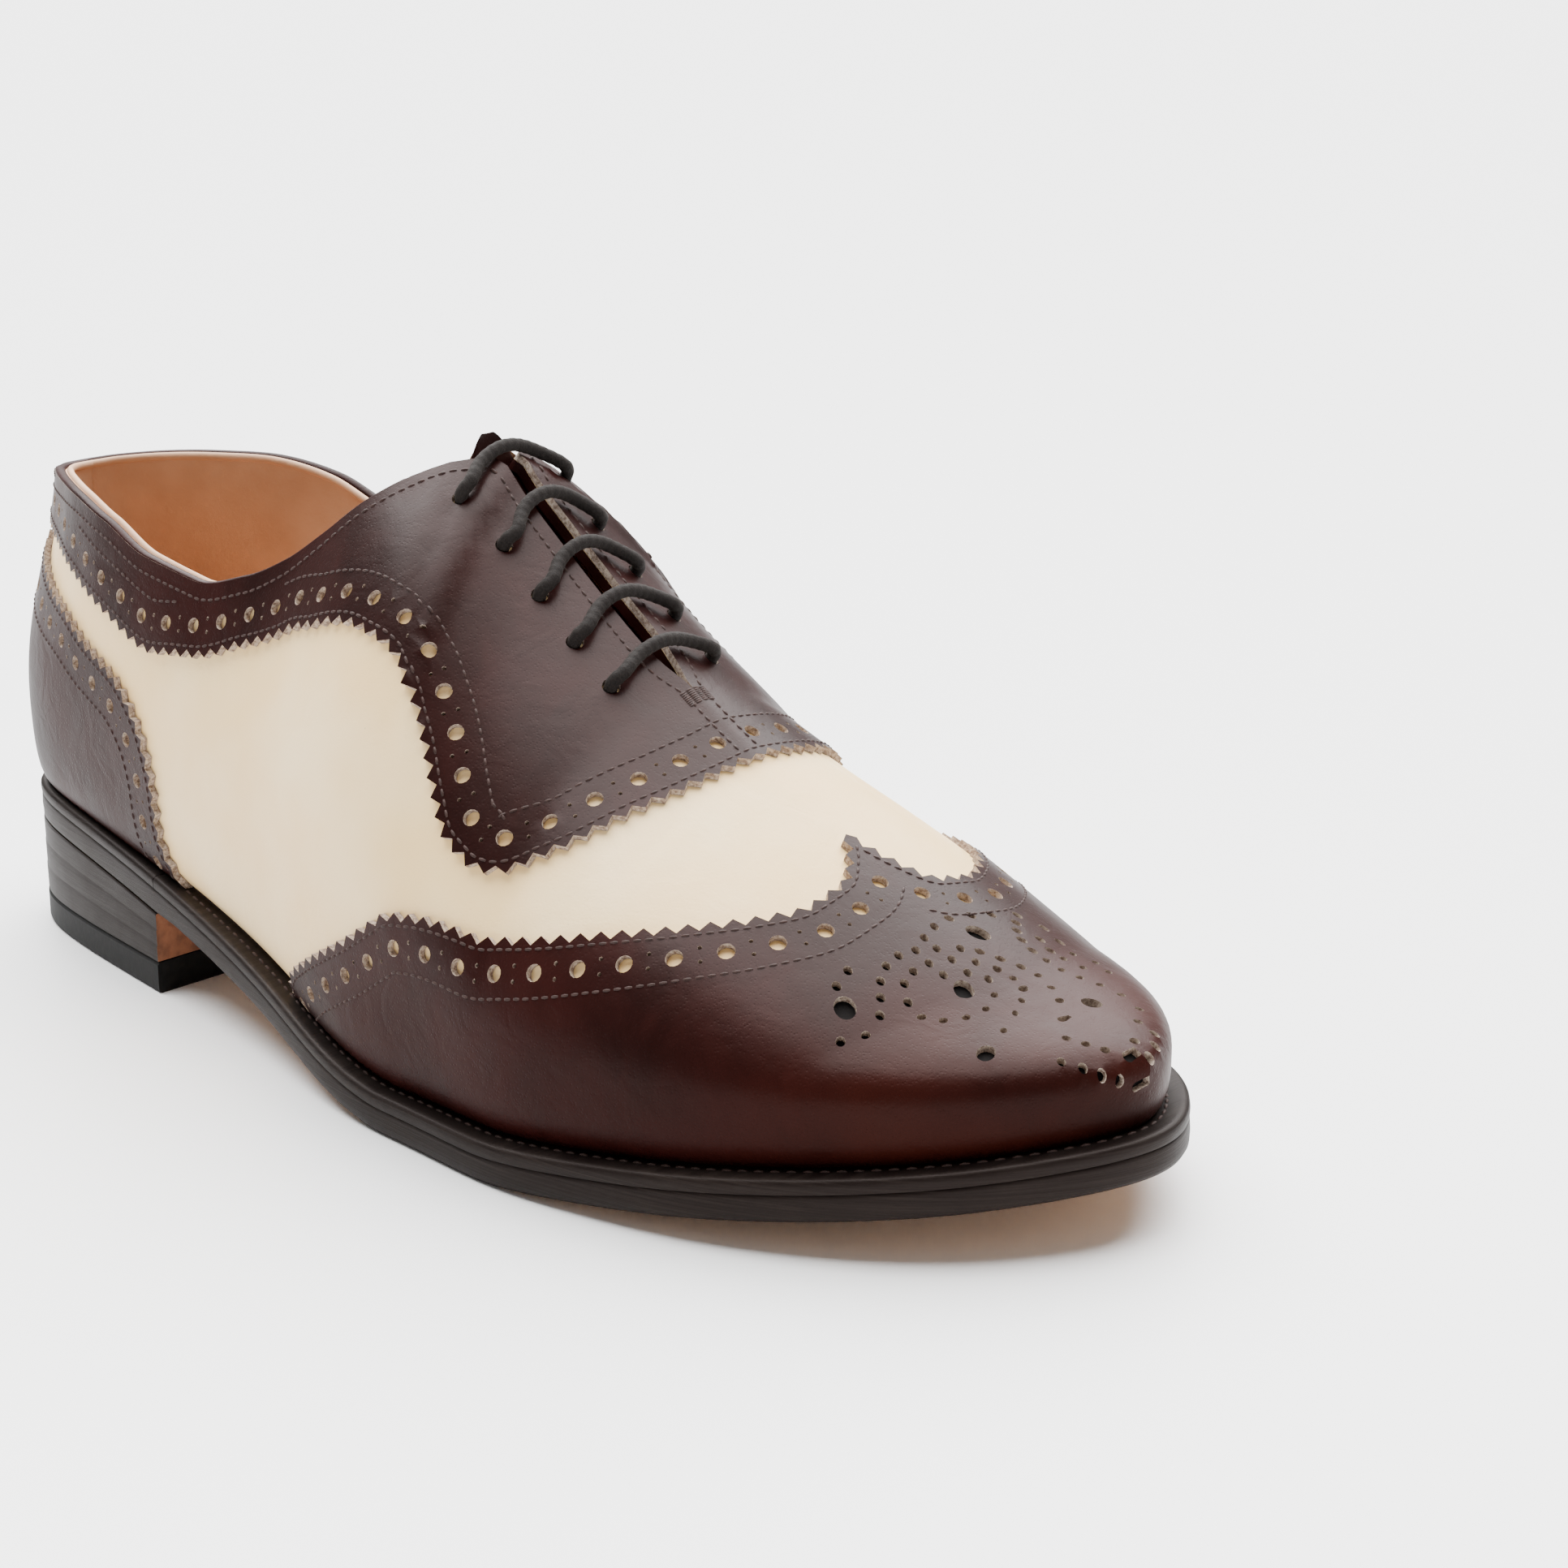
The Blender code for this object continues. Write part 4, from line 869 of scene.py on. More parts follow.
def capsules(spots, along, normal, size, sink):
    """Five rings of six points for each stitch, thinner at its ends, which curve down into the leather."""
    place = np.array([-0.5, -0.34, 0.0, 0.34, 0.5])
    thick = np.array([0.35, 0.85, 1.0, 0.85, 0.35])
    dip = np.array([-0.55, -0.12, 0.0, -0.12, -0.55])
    middle = spots[:, None] + along[:, None] * (place * size[0])[None, :, None]
    middle = middle + normal[:, None] * (dip * size[1] - sink)[None, :, None]
    around = circles(np.cross(normal, along), normal, 6)[:, None]
    return middle[:, :, None] + around * (thick * size[1] / 2)[None, :, None, None]


def thread_piece(name, groups, material):
    """All the stitches of a seam as one mesh: tubes between the rings, and a six-sided cap at each end."""
    points = np.concatenate(groups)
    start = np.arange(len(points))[:, None, None] * 30
    quads = (grid_faces(5, 6, True)[None] + start).reshape(-1, 4)
    caps = (np.stack([np.arange(5, -1, -1), np.arange(24, 30)])[None] + start).reshape(-1, 6)
    return make(name, points, quads.tolist() + caps.tolist(), [material], merge=1e-9, sharp=80)


# %% [markdown]
# The facing: the collar band and the two eyelet facings are one piece, from the throat round the heel and
# back. Its chart is simply (w, v) in rough millimetres. Over the ridge below the slit its two halves meet,
# point on point, and are merged.


# %% Facing
def both_sides(edge, start):
    """An edge and its mirror as one path through the back seam, from the outer side (-1) or the inner (1)."""
    return np.concatenate([(edge * [start, 1])[::-1], (edge * [-start, 1])[1:]])


def side_chart(path):
    return path * CHART_SCALE


def filling(w_range, v_range, pitch):
    """Staggered points about a pitch apart."""
    w_step, v_step = pitch / CHART_SCALE
    w, v = np.arange(*w_range, w_step), np.arange(*v_range, v_step)
    points = np.stack(np.meshgrid(w, v, indexing="ij"), -1)
    points[:, ::2, 0] += w_step / 2
    return points.reshape(-1, 2)


def eyelet_paths():
    """(w, v) of the eyelets, top pair first and outer side first: the inset is measured from the ridge."""
    fine = np.linspace(SLIT_OPENS, THROAT, 400)
    u = np.interp(np.linspace(FIRST_EYELET, LAST_EYELET, EYELET_COUNT), STATION_AT(fine), fine)
    w = np.stack([-u, u], -1)
    return np.stack([w, 1 - (EYELET_INSET - SLIT / 2) / column_length(w)], -1)


EYELETS = eyelet_paths()
facing_line = trace(both_sides(FACING_EDGE, -1))
facing_large, facing_pins = punched(facing_line)
facing_top = wall_columns(0.0048)
facing_top = facing_top[np.abs(facing_top) < FACING_EDGE[-1, 0] - 0.002][::-1]
facing_border = np.concatenate([toothed(facing_line), np.stack([facing_top, 1 + 0 * facing_top], -1)])
facing_holes = [
    rings(facing_large, HOLE_RADIUS, 14), rings(facing_pins, PINHOLE_RADIUS, 6),
    rings(EYELETS.reshape(-1, 2), EYELET_DIAMETER * 0.42, 14),
]


def over_ridge(a, b):
    return min(a[1], b[1]) > 1 - 1e-9 and min(abs(a[0]), abs(b[0])) > THROAT - 1e-6


facing = cut_panel("collar_and_facing", side_chart, facing_border, facing_holes,
                   filling((-0.64, 0.64), (0.44, 0.998), 1.7 * MM), 0.0001, LAID, over_ridge)
finished(facing, "brown_calf", "facing")

# %% [markdown]
# The counter wraps the heel, and rises to a point at the back seam.

# %% Heel counter
counter_line = trace(both_sides(COUNTER_EDGE, 1))
counter_large, counter_pins = punched(counter_line)
counter_foot = np.linspace(-COUNTER_EDGE[-1, 0], COUNTER_EDGE[-1, 0], 150)[1:-1]
counter_border = np.concatenate([toothed(counter_line), np.stack([counter_foot, 0 * counter_foot], -1)])
counter_holes = [rings(counter_large[counter_large[:, 1] > 0.05], HOLE_RADIUS, 14),
                 rings(counter_pins[counter_pins[:, 1] > 0.03], PINHOLE_RADIUS, 6)]
counter = cut_panel("counter_leather", side_chart, counter_border, counter_holes,
                    filling((-0.35, 0.35), (0.01, 0.86), 2.4 * MM), 0.0001, LAID)
finished(counter, "brown_calf", "heel_counter")

# %% [markdown]
# The wing cap crosses the ridge and covers the toe, where all columns meet at one point. So its chart is a
# fan: each column starts at its own place on the ridge and heads off at its own angle, at its true length.
# The chart can be read backwards, which places the toe's pierced pattern in true millimetres.

# %% Wing cap and its chart
SIDE_COUNT = ACROSS // 2 + 1
FAN_U = np.linspace(0, 1, SIDE_COUNT)
FAN_X = STATION_AT(FAN_U) * LENGTH


def fan_angles(side):
    """Each column's heading away from the ridge, from its top to its foot, and square to it at the tail."""
    w = side * FAN_U
    foot, _ = plan(w, feather_inset(w))
    away = foot - top_edge(w)[:, :2]
    angle = np.arctan2(np.abs(away[:, 1]), away[:, 0])
    share = ease((FAN_U - 0.60) / 0.06)
    angle = np.pi / 2 + (angle - np.pi / 2) * share
    toe = FAN_U > RIDGE_END
    angle[toe] = np.minimum.accumulate(angle[toe])
    angle[-1] = 0.0
    return angle


FAN_ANGLE = {side: fan_angles(side) for side in (-1, 1)}


def fan_chart(path):
    """(w, v) to the flat fan: the column's place on the ridge, plus its heading times its length below it."""
    w, v = (path[:, 0] + 1) % 2 - 1, path[:, 1]
    side = np.where(w < 0, -1.0, 1.0)
    u = np.abs(w)
    angle = np.where(side < 0, np.interp(u, FAN_U, FAN_ANGLE[-1]), np.interp(u, FAN_U, FAN_ANGLE[1]))
    radius = (1 - v) * column_length(w)
    return np.stack([np.interp(u, FAN_U, FAN_X) + radius * np.cos(angle), side * radius * np.sin(angle)], -1)


def from_fan(flat):
    """The flat fan back to (w, v): the column is the one whose line passes through the point."""
    found = np.zeros(flat.shape)
    for side in (-1, 1):
        mine = (flat[:, 1] < 0) if side < 0 else (flat[:, 1] >= 0)
        x, y = flat[mine, 0][:, None], np.abs(flat[mine, 1])[:, None]
        start = np.searchsorted(FAN_U, 0.44)
        u, angle, foot = FAN_U[start:], FAN_ANGLE[side][start:], FAN_X[start:]
        past = (x - foot) * np.sin(angle) - y * np.cos(angle)
        i = np.clip((past > 0).sum(1) - 1, 0, len(u) - 2)
        row = np.arange(len(i))
        t = np.clip(past[row, i] / (past[row, i] - past[row, i + 1] + 1e-15), 0, 1)
        at = u[i] + (u[i + 1] - u[i]) * t
        radius = np.hypot(x[:, 0] - np.interp(at, FAN_U, FAN_X), y[:, 0])
        found[mine] = np.stack([side * at, 1 - radius / column_length(side * at)], -1)
    return found


POLE = STATION_AT(1.0) * LENGTH
LARGE_RADIUS, SMALL_RADIUS = 1.90 * MM, 0.84 * MM
# The toe's pierced rosette, in millimetres from the pole: forward, and to the inner side. Loops of small
# holes run round the middle hole, and double rows curl over the toe and down each side. The places follow
# the photographed shoe's, read from it, with a few holes added where it doesn't show them well
LARGE_HOLES = np.array([(-3.5, -9.0), (-10.5, 4.0), (-14.5, -27.5), (13.5, 7.5), (11.0, -19.5)])
SMALL_HOLES = np.array([
    (-7.5, -9.5), (-5, -5.5), (-1.8, -3.4), (1.3, -6.2), (2.5, -10.5), (1.2, -14.7), (-1.5, -17.8),
    (-5, -19.2), (-8.4, -18.6), (-10.8, -16.4), (-11.2, -13.3), (-10.4, -9.7), (-8.3, -5.6), (-5.2, -2.3),
    (-1.9, -0.1), (1.0, 0.9), (4.1, 0.4), (6.6, -2.4), (8.1, -7.0), (9.5, -12.8), (-10, -24), (-11.8, -21.6),
    (-13.6, -19.3), (-14.7, -16.3), (-14.6, -12.9), (-13.4, -9.5), (-11.3, -6.0), (-8.6, -2.2), (-6.2, 0.4),
    (-4.1, 2.5), (-1.9, 4.5), (1.2, 6.3), (6, 5.5), (10, 3), (14.5, -0.5), (19.2, -4.8), (22.3, -3.5),
    (25.2, -2.2), (27.9, -0.2), (22.3, -10.5), (25.2, -8.2), (27.6, -6.0), (29.7, -3.4), (31.9, -0.4),
    (-17.7, -25.8), (-18.2, -22.2), (-11.5, -32), (-9.3, -28.3), (-14, -6), (-14.3, -2.3), (-14.6, 1.9),
    (-14.7, 6.6), (-14.7, 11), (-14.7, 17), (-12.7, 14.4), (-10.7, 12.3), (-8.4, 10.9), (-5.8, 10.4),
    (-3.2, 11.0), (0.4, 12.2), (4, 14), (7.8, 15.7), (12.5, 16.4), (18.2, 14.6), (22, 9.3), (25.5, 9.0),
    (26.1, 3.4), (29.2, 3.2), (27.8, 6.2), (-12, 20), (-8.7, 15.2), (-6, 14.4), (-3.4, 15.4), (-8.6, 19.6),
    (-5, 19.2), (0.4, 17.6), (-1.5, 22.6), (2.8, 22.4),
])


def inner_wing_edge():
    """The edge on the inner side swings a little nearer the toe beside the ridge."""
    u, v = WING_EDGE.T
    return np.stack([u + 0.011 * ease((1 - v) / 0.08) * ease((v - 0.3) / 0.3), v], -1)


wing_outer, wing_inner = trace(WING_EDGE * [-1, 1]), trace(inner_wing_edge()[::-1])
wing_large, wing_pins = (np.concatenate(pair) for pair in zip(punched(wing_outer), punched(wing_inner)))
wing_foot = np.concatenate([np.linspace(0.452, 1, 150)[1:], np.linspace(-1, -0.452, 150)[1:-1]])
wing_border = np.concatenate([
    toothed(wing_outer), toothed(wing_inner)[1:], np.stack([wing_foot, 0 * wing_foot], -1),
])
rosette = [from_fan(spots * MM + [POLE, 0.0]) for spots in (LARGE_HOLES, SMALL_HOLES)]


def fan_rings(centres, radius, sides):
    """Round holes drawn in the flat fan."""
    turn = np.linspace(0, 2 * np.pi, sides, endpoint=False)
    circle = np.stack([np.cos(turn), np.sin(turn)], -1) * radius
    flat = (fan_chart(centres)[:, None] + circle[None]).reshape(-1, 2)
    return from_fan(flat).reshape(len(centres), sides, 2)


wing_holes = [
    rings(wing_large[wing_large[:, 1] > 0.04], HOLE_RADIUS, 14),
    rings(wing_pins[wing_pins[:, 1] > 0.02], PINHOLE_RADIUS, 6),
    fan_rings(rosette[0], LARGE_RADIUS, 18), fan_rings(rosette[1], SMALL_RADIUS, 12),
]
NET_PITCH = 1.7 * MM
net_x, net_y = np.arange(0.10, 0.36, NET_PITCH), np.arange(-0.145, 0.145, NET_PITCH)
flat_net = np.stack(np.meshgrid(net_x, net_y, indexing="ij"), -1)
flat_net[::2, :, 1] += NET_PITCH / 2
wing_fill = from_fan(flat_net.reshape(-1, 2))
wing_fill = wing_fill[(wing_fill[:, 1] > 0.012) & (wing_fill[:, 1] < 0.999)]
wing = cut_panel("wing_cap_leather", fan_chart, wing_border, wing_holes, wing_fill, 0.0001, LAID)
finished(wing, "brown_calf", "wing_cap")

# %% [markdown]
# The upper under them. The cream quarters and vamp are lasted as one hollow wall about 2 mm thick, lined
# with tan leather. Here it is the fine grid moved in by the wall, with both faces joined at the feather edge
# and at the top. A Solidify modifier could do it, but its corners are harder to keep clean at the slit. The
# brogue holes show the cream, but the toe's holes show a dark underlay, so that stretch is marked.


# %% The upper and its lining
def under_cap(paths):
    """1 well inside the wing cap's edge, where the underlay is dark, and 0 elsewhere."""
    places = paths.reshape(-1, 2)
    near = np.abs(places[:, 0]) > WING_EDGE[0, 0] - 0.01
    edge = np.concatenate([wing_outer[::4], wing_inner[::4]])
    border = np.concatenate([edge, wing_foot[::4, None] * [1, 0]])
    inside = in_polygon(fan_chart(places[near]), fan_chart(border))
    apart = nearest(leather(places[near]), leather(edge))
    mark = np.zeros(len(places))
    mark[near] = inside * ease((apart - 8.6 * MM) / (1.2 * MM))
    return mark


def upper_piece():
    """Outer face, lining, foot and rim. The rim is brown beside the slit, as the facing's own edge."""
    w = wall_columns(0.0048)
    v = np.linspace(0, 1, 88)
    paths = np.stack(np.meshgrid(w, v, indexing="ij"), -1)
    outer, inner = leather(paths), leather(paths, -WALL)
    dark = under_cap(paths)
    count, rows = paths.shape[:2]
    face, back = grid_faces(count, rows), count * rows
    column = np.arange(count - 1) * rows
    foot = np.stack([column, column + rows, back + column + rows, back + column], -1)
    u = np.minimum(np.abs(w[:-1]), np.abs(w[1:]))
    rim, u = (foot + rows - 1)[u < THROAT - 1e-6], u[u < THROAT - 1e-6]
    faces = np.concatenate([face, face[:, ::-1] + back, foot, rim])
    rim_kind = np.where(u > SLIT_OPENS, 2, 1)
    kinds = np.concatenate([np.zeros(len(face)), np.ones(len(face) + len(foot)), rim_kind])
    marks = {"under_cap": np.concatenate([dark, dark])}
    leathers = [CREAM, LINING, BROWN]
    return make("upper_leather", np.stack([outer, inner]), faces.tolist(), leathers, kinds, marks)


finished(upper_piece(), "cream_calf", "upper")

# %% [markdown]
# Seams. Two rows follow each pinked edge, one follows the top line and the slit, and a bar tack of eight
# short rows closes the slit's end. Each stitch is a separate little capsule, all joined into one mesh.

# %% Seams of the upper
TOP_SEAM, SLIT_SEAM = 3.2 * MM, 3.0 * MM


def top_seam(side):
    """Beside the top line and then the slit, a little past the throat."""
    u = np.linspace(0.0, 0.634, 500)
    inset = TOP_SEAM + (SLIT_SEAM - TOP_SEAM) * ease((u - 0.5) / 0.05)
    inset = inset - 0.0007 * ease((u - THROAT + 0.008) / 0.01)
    return np.stack([side * u, 1 - inset / column_length(side * u)], -1)


def inner_row(path):
    """The second row beside an edge, left out where it would run into the top seam or the welt."""
    row = shifted(path, -INNER_SEAM)
    top = leather(np.concatenate([top_seam(-1)[:400], top_seam(1)[:400]]))
    keep = (nearest(leather(row), top) > 2.2 * MM) & (row[:, 1] > 0.03)
    cuts = np.flatnonzero(np.diff(np.flatnonzero(keep)) > 3) + 1
    return [piece for piece in np.split(row[keep], cuts) if len(piece) > 12]


seams = []
for line in (facing_line, counter_line, wing_outer, wing_inner):
    seams.append(stitch_row([shifted(line, -EDGE_SEAM)]))
    seams.append(stitch_row(inner_row(line)))
seams.append(stitch_row([top_seam(-1), top_seam(1)]))
tack_rows = [np.stack([np.full(30, -THROAT - shift), np.linspace(0.966, 1.034, 30)], -1)
             for shift in np.linspace(-0.0012, 0.0036, 8)]
seams.append(stitch_row(tack_rows, 1.6 * MM, (1.9 * MM, 0.62 * MM)))
finished(thread_piece("upper_seams", seams, THREAD), "brown_calf")

# %% [markdown]
# The top line is a folded edge with the tan lining showing inside it. Both are slim beads carried along the
# top of the wall, from slit to slit.


# %% Folded top line
def bead(name, w, height, across, tall, material, sink=0.0):
    """An oval bead along the top of the wall: its half width across and half height tall, at a height."""
    path = np.stack([w, np.ones(len(w))], -1)
    middle, normal = leather(path, height), leather_normal(path)
    along = unit(np.gradient(middle, axis=0))
    rising = unit(np.cross(along, normal))
    rising = rising * np.sign(rising[:, 2:] + 1e-9)
    sides = 12
    fade = np.clip(np.minimum(np.arange(len(w)), np.arange(len(w))[::-1]) / 4, 0.05, 1)[:, None, None]
    points = (middle - rising * sink)[:, None] + circles(normal * across, rising * tall, sides) * fade
    return make(name, points, tube_faces(len(w), sides), [material], sharp=80)


edge_w = np.linspace(-SLIT_OPENS, SLIT_OPENS, 620)
finished(bead("folded_top_edge", edge_w, (LAID - WALL) / 2 + 0.0006, (LAID + WALL) / 2 - 0.0006, 0.0008,
              BROWN, 0.0001), "brown_calf")
finished(bead("lining_top_edge", edge_w, -WALL + 0.0002, 0.00075, 0.0009, LINING), "lining_leather")

# %% [markdown]
# The back tab is a short strip over the back seam, held by beige thread.

# %% Back tab
TAB_HALF, TAB_TOP, TAB_SHOULDER, TAB_ROUNDING = 0.045, 0.995, 0.885, 0.03
TAB_LAID = LAID + 1.0 * MM


def tab_border():
    """A strip with straight sides and a foot that is half an ellipse."""
    w = TAB_HALF * np.sin(np.linspace(-np.pi / 2, np.pi / 2, 30))
    foot = TAB_SHOULDER - TAB_ROUNDING * np.sqrt(np.clip(1 - (w / TAB_HALF) ** 2, 0, 1))
    side = np.linspace(TAB_SHOULDER, TAB_TOP, 14)[1:]
    top = np.linspace(TAB_HALF, -TAB_HALF, 20)[1:-1]
    return np.concatenate([
        np.stack([w, foot], -1), np.stack([0 * side + TAB_HALF, side], -1),
        np.stack([top, 0 * top + TAB_TOP], -1), np.stack([0 * side - TAB_HALF, side], -1)[::-1],
    ])


tab = cut_panel("back_tab_leather", side_chart, tab_border(), [],
                filling((-0.05, 0.05), (0.85, 0.99), 1.6 * MM), LAID + 0.0001, TAB_LAID)
finished(tab, "brown_calf", "back_tab")
tab_rows = [np.stack([np.full(40, w), np.linspace(0.875, 0.985, 40)], -1) for w in (-0.036, 0.036)]
tab_stitches = stitch_row(tab_rows, 1.9 * MM, (1.7 * MM, 0.5 * MM), TAB_LAID)
finished(thread_piece("back_tab_seams", [tab_stitches], PALE_THREAD), "brown_calf")

# %% [markdown]
# The tongue lies close under the slit and deeper at its sides, and its tip stands up past the top eyelets.
# It is a grid over the same columns, moved in by its depth.


# %% Tongue
# Its columns from the foot to the free tip, its depth at the slit and at its sides, and the tip's direction
TONGUE_FOOT, TONGUE_TOP = 0.632, 0.537
TONGUE_NEAR, TONGUE_DEEP = WALL + GAP + 0.0004, WALL + LACE_DIAMETER + 0.0011
TIP_RISE = unit(np.array([-0.20, 0.0, 0.98])) * TONGUE_RISE


def tongue_piece():
    """Rows along the ridge, points across it by their distance from the slit, then a short free tip."""
    u = np.linspace(TONGUE_FOOT, TONGUE_TOP, 70)
    distance = np.linspace(0, TONGUE_WIDTH / 2, 22)
    depth = TONGUE_NEAR + (TONGUE_DEEP - TONGUE_NEAR) * ease((distance - 0.001) / 0.0065)
    halves = []
    for side in (-1, 1):
        w = np.broadcast_to(side * u[:, None], (len(u), len(distance)))
        path = np.stack([w, 1 - distance[None] / column_length(w)], -1)
        halves.append((leather(path), leather_normal(path)))
    middle = (halves[0][0][:, :1] + halves[1][0][:, :1]) / 2
    over = unit(halves[0][1][:, :1] + halves[1][1][:, :1])
    points = np.concatenate([halves[0][0][:, ::-1], middle, halves[1][0]], 1)
    normals = np.concatenate([halves[0][1][:, ::-1], over, halves[1][1]], 1)
    down = np.concatenate([depth[::-1], depth[:1], depth])[None, :, None]
    outer = points - normals * down
    share = np.linspace(0, 1, 16)[1:, None, None]
    width = np.sqrt(np.clip(1 - share ** 3 * 0.8, 0, 1))
    centre = outer[-1:, len(distance):len(distance) + 1]
    tip = centre + (outer[-1:] - centre) * width + TIP_RISE * share
    outer = np.concatenate([outer, tip])
    normals = np.concatenate([normals, np.broadcast_to(normals[-1:], tip.shape)])
    inner = outer - normals * TONGUE_THICKNESS
    rows, columns = outer.shape[:2]
    face, back = grid_faces(rows, columns), rows * columns
    ring = np.concatenate([np.arange(columns), np.arange(1, rows) * columns + columns - 1,
                           (rows - 1) * columns + np.arange(columns - 2, -1, -1),
                           np.arange(rows - 2, 0, -1) * columns])
    wall = np.stack([ring, np.roll(ring, -1), np.roll(ring, -1) + back, ring + back], -1)
    faces = np.concatenate([face, face[:, ::-1] + back, wall])
    kinds = np.concatenate([np.zeros(len(face)), np.ones(len(face)), np.ones(len(wall))])
    return make("tongue_leather", np.stack([outer, inner]), faces.tolist(), [BROWN, LINING], kinds)


finished(tongue_piece(), "brown_calf", "tongue")

# %% [markdown]
# The lace runs through every eyelet: straight bars outside and hidden runs inside, with both ends stopping
# at the top pair. Its route is a list of places at each eyelet, and one smooth curve is drawn through them.
# The braid is pressed into the tube's radius by two crossing waves.


# %% Lace
def lace_route():
    """Up through one eyelet, over the slit as a bar and down through the other, pair after pair."""
    above, below = LAID + LACE_DIAMETER / 2 + LACE_ABOVE, WALL + LACE_DIAMETER / 2 + LACE_BELOW
    turn = LACE_DIAMETER * 0.65
    spots, normals = leather(EYELETS), leather_normal(EYELETS)
    half = leather(np.stack([EYELETS[..., 0], (1 + EYELETS[..., 1]) / 2], -1))
    rim = leather(np.stack([EYELETS[..., 0], np.ones(EYELETS.shape[:2])], -1))
    route = []

    def flat(direction, normal):
        return unit(direction - normal * (direction @ normal))

    def through(centre, normal, coming, going, up):
        start, end = (-below, above) if up else (above, -below)
        step = turn if up else -turn
        for share in (1.0, 0.45, 0.08):
            route.append(centre + normal * (start + step * (1 - share) ** 2) + coming * turn * share)
        for share in (0.08, 0.45, 1.0):
            route.append(centre + normal * (end - step * (1 - share) ** 2) + going * turn * share)

    for k in range(EYELET_COUNT):
        a, b = (0, 1) if k % 2 == 0 else (1, 0)
        first, last = spots[k, a], spots[k, b]
        before = spots[k - 1, a] if k else 2 * first - spots[1, a]
        after = spots[k + 1, b] if k + 1 < EYELET_COUNT else 2 * last - spots[k - 1, b]
        bar, over = unit(last - first), unit(normals[k, a] + normals[k, b])
        through(first, normals[k, a], flat(before - first, normals[k, a]), flat(bar, normals[k, a]), True)
        route.append(half[k, a] + unit(normals[k, a] + over) * above)
        route.append((rim[k, a] + rim[k, b]) / 2 + over * above)
        route.append(half[k, b] + unit(normals[k, b] + over) * above)
        through(last, normals[k, b], flat(-bar, normals[k, b]), flat(after - last, normals[k, b]), False)
    return np.array(route)


def tube(name, route, radius, material, spacing, sides, braid=0.0):
    """A round tube on a spline through the route. Each ring's first side is carried on from the last one."""
    run = distances(route)
    places = np.linspace(0, run[-1], int(run[-1] / spacing))
    path = np.stack([smooth_curve(run, route[:, k])(places) for k in range(3)], -1)
    along = unit(np.gradient(path, axis=0))
    side = np.zeros(path.shape)
    side[0] = unit(np.cross(along[0], [0.2, 1.0, 0.1]))
    for k in range(1, len(path)):
        side[k] = unit(side[k - 1] - along[k] * (side[k - 1] @ along[k]))
    turn = 3 * np.linspace(0, 2 * np.pi, sides, endpoint=False)[None]
    twist = places[:, None] / 0.00055
    wave = np.cos(turn + twist) * np.cos(turn - twist)
    reach = radius * (1 + braid * wave)[..., None]
    points = path[:, None] + circles(side, np.cross(along, side), sides) * reach
    print(name, "length", round(float(run[-1]), 3), "m")
    return make(name, points, tube_faces(len(path), sides), [material], sharp=80)


lace = tube("braided_lace", lace_route(), LACE_DIAMETER * 0.46, COTTON, 0.00035, 14, 0.06)
finished(lace, "waxed_cotton", "lace")

# %% [markdown]
# The sole. A plate is a row of closed rings across the shoe: down one edge, over the underside, up the other
# edge and back over the top. The edges get their rounding from the profile, and the ends close by
# themselves where the outline comes to one point at heel and toe.


# %% Plates of the sole
def plate(name, u, insets, levels, materials, across=24):
    """Rings across the plate at columns u. Each row of its edge, from the top down, has its inset and level."""
    edges = {}
    for side in (-1, 1):
        rows = []
        for inset, level in zip(insets, levels):
            flat, _ = plan(side * u, inset)
            rows.append(np.column_stack([flat, level(flat[:, 0])]))
        edges[side] = np.stack(rows, 1)
    share = np.linspace(0, 1, across + 1)[1:-1][None, :, None]

    def bridge(start, end, level):
        span = start[:, None] * (1 - share) + end[:, None] * share
        span[..., 2] = level(span[..., 0])
        return span

    under = bridge(edges[-1][:, -1], edges[1][:, -1], levels[-1])
    over = bridge(edges[1][:, 0], edges[-1][:, 0], levels[0])
    ring = np.concatenate([edges[-1], under, edges[1][:, ::-1], over], 1)
    rows, columns = ring.shape[:2]
    faces = grid_faces(rows, columns, True)
    count = len(levels)
    spot = np.tile(np.arange(columns), rows - 1)
    kinds = np.where((spot >= count - 1) & (spot < count + across - 1), 1, 0)
    faces, kinds = faces.tolist(), kinds.tolist()
    for end in (0, rows - 1):
        if np.linalg.norm(ring[end, 0] - ring[end, count + across]) > 1e-5:
            faces.append([end * columns + k for k in range(columns)])
            kinds.append(2)
    kinds = np.minimum(kinds, len(materials) - 1)
    return make(name, ring - ORIGIN, faces, materials, kinds)


def above_sole(heights):
    """Levels that run with the sole's underside, each at a height over it."""
    return [lambda x, height=height: sole_bottom(x) + height for height in heights]


def lift_levels(shares):
    """Levels between the top piece and the seat, which slopes with the sole."""
    low = TOP_PIECE_THICKNESS + GAP
    return [lambda x, share=share: low + (sole_bottom(x) - GAP - low) * share for share in shares]


# %% Outsole, heel and insole
FINE_U = np.concatenate([
    np.linspace(0, 0.12, 40)[:-1], np.linspace(0.12, 0.8, 150)[:-1], np.linspace(0.8, 1, 60),
])
SEAT = OUTSOLE_THICKNESS + GAP
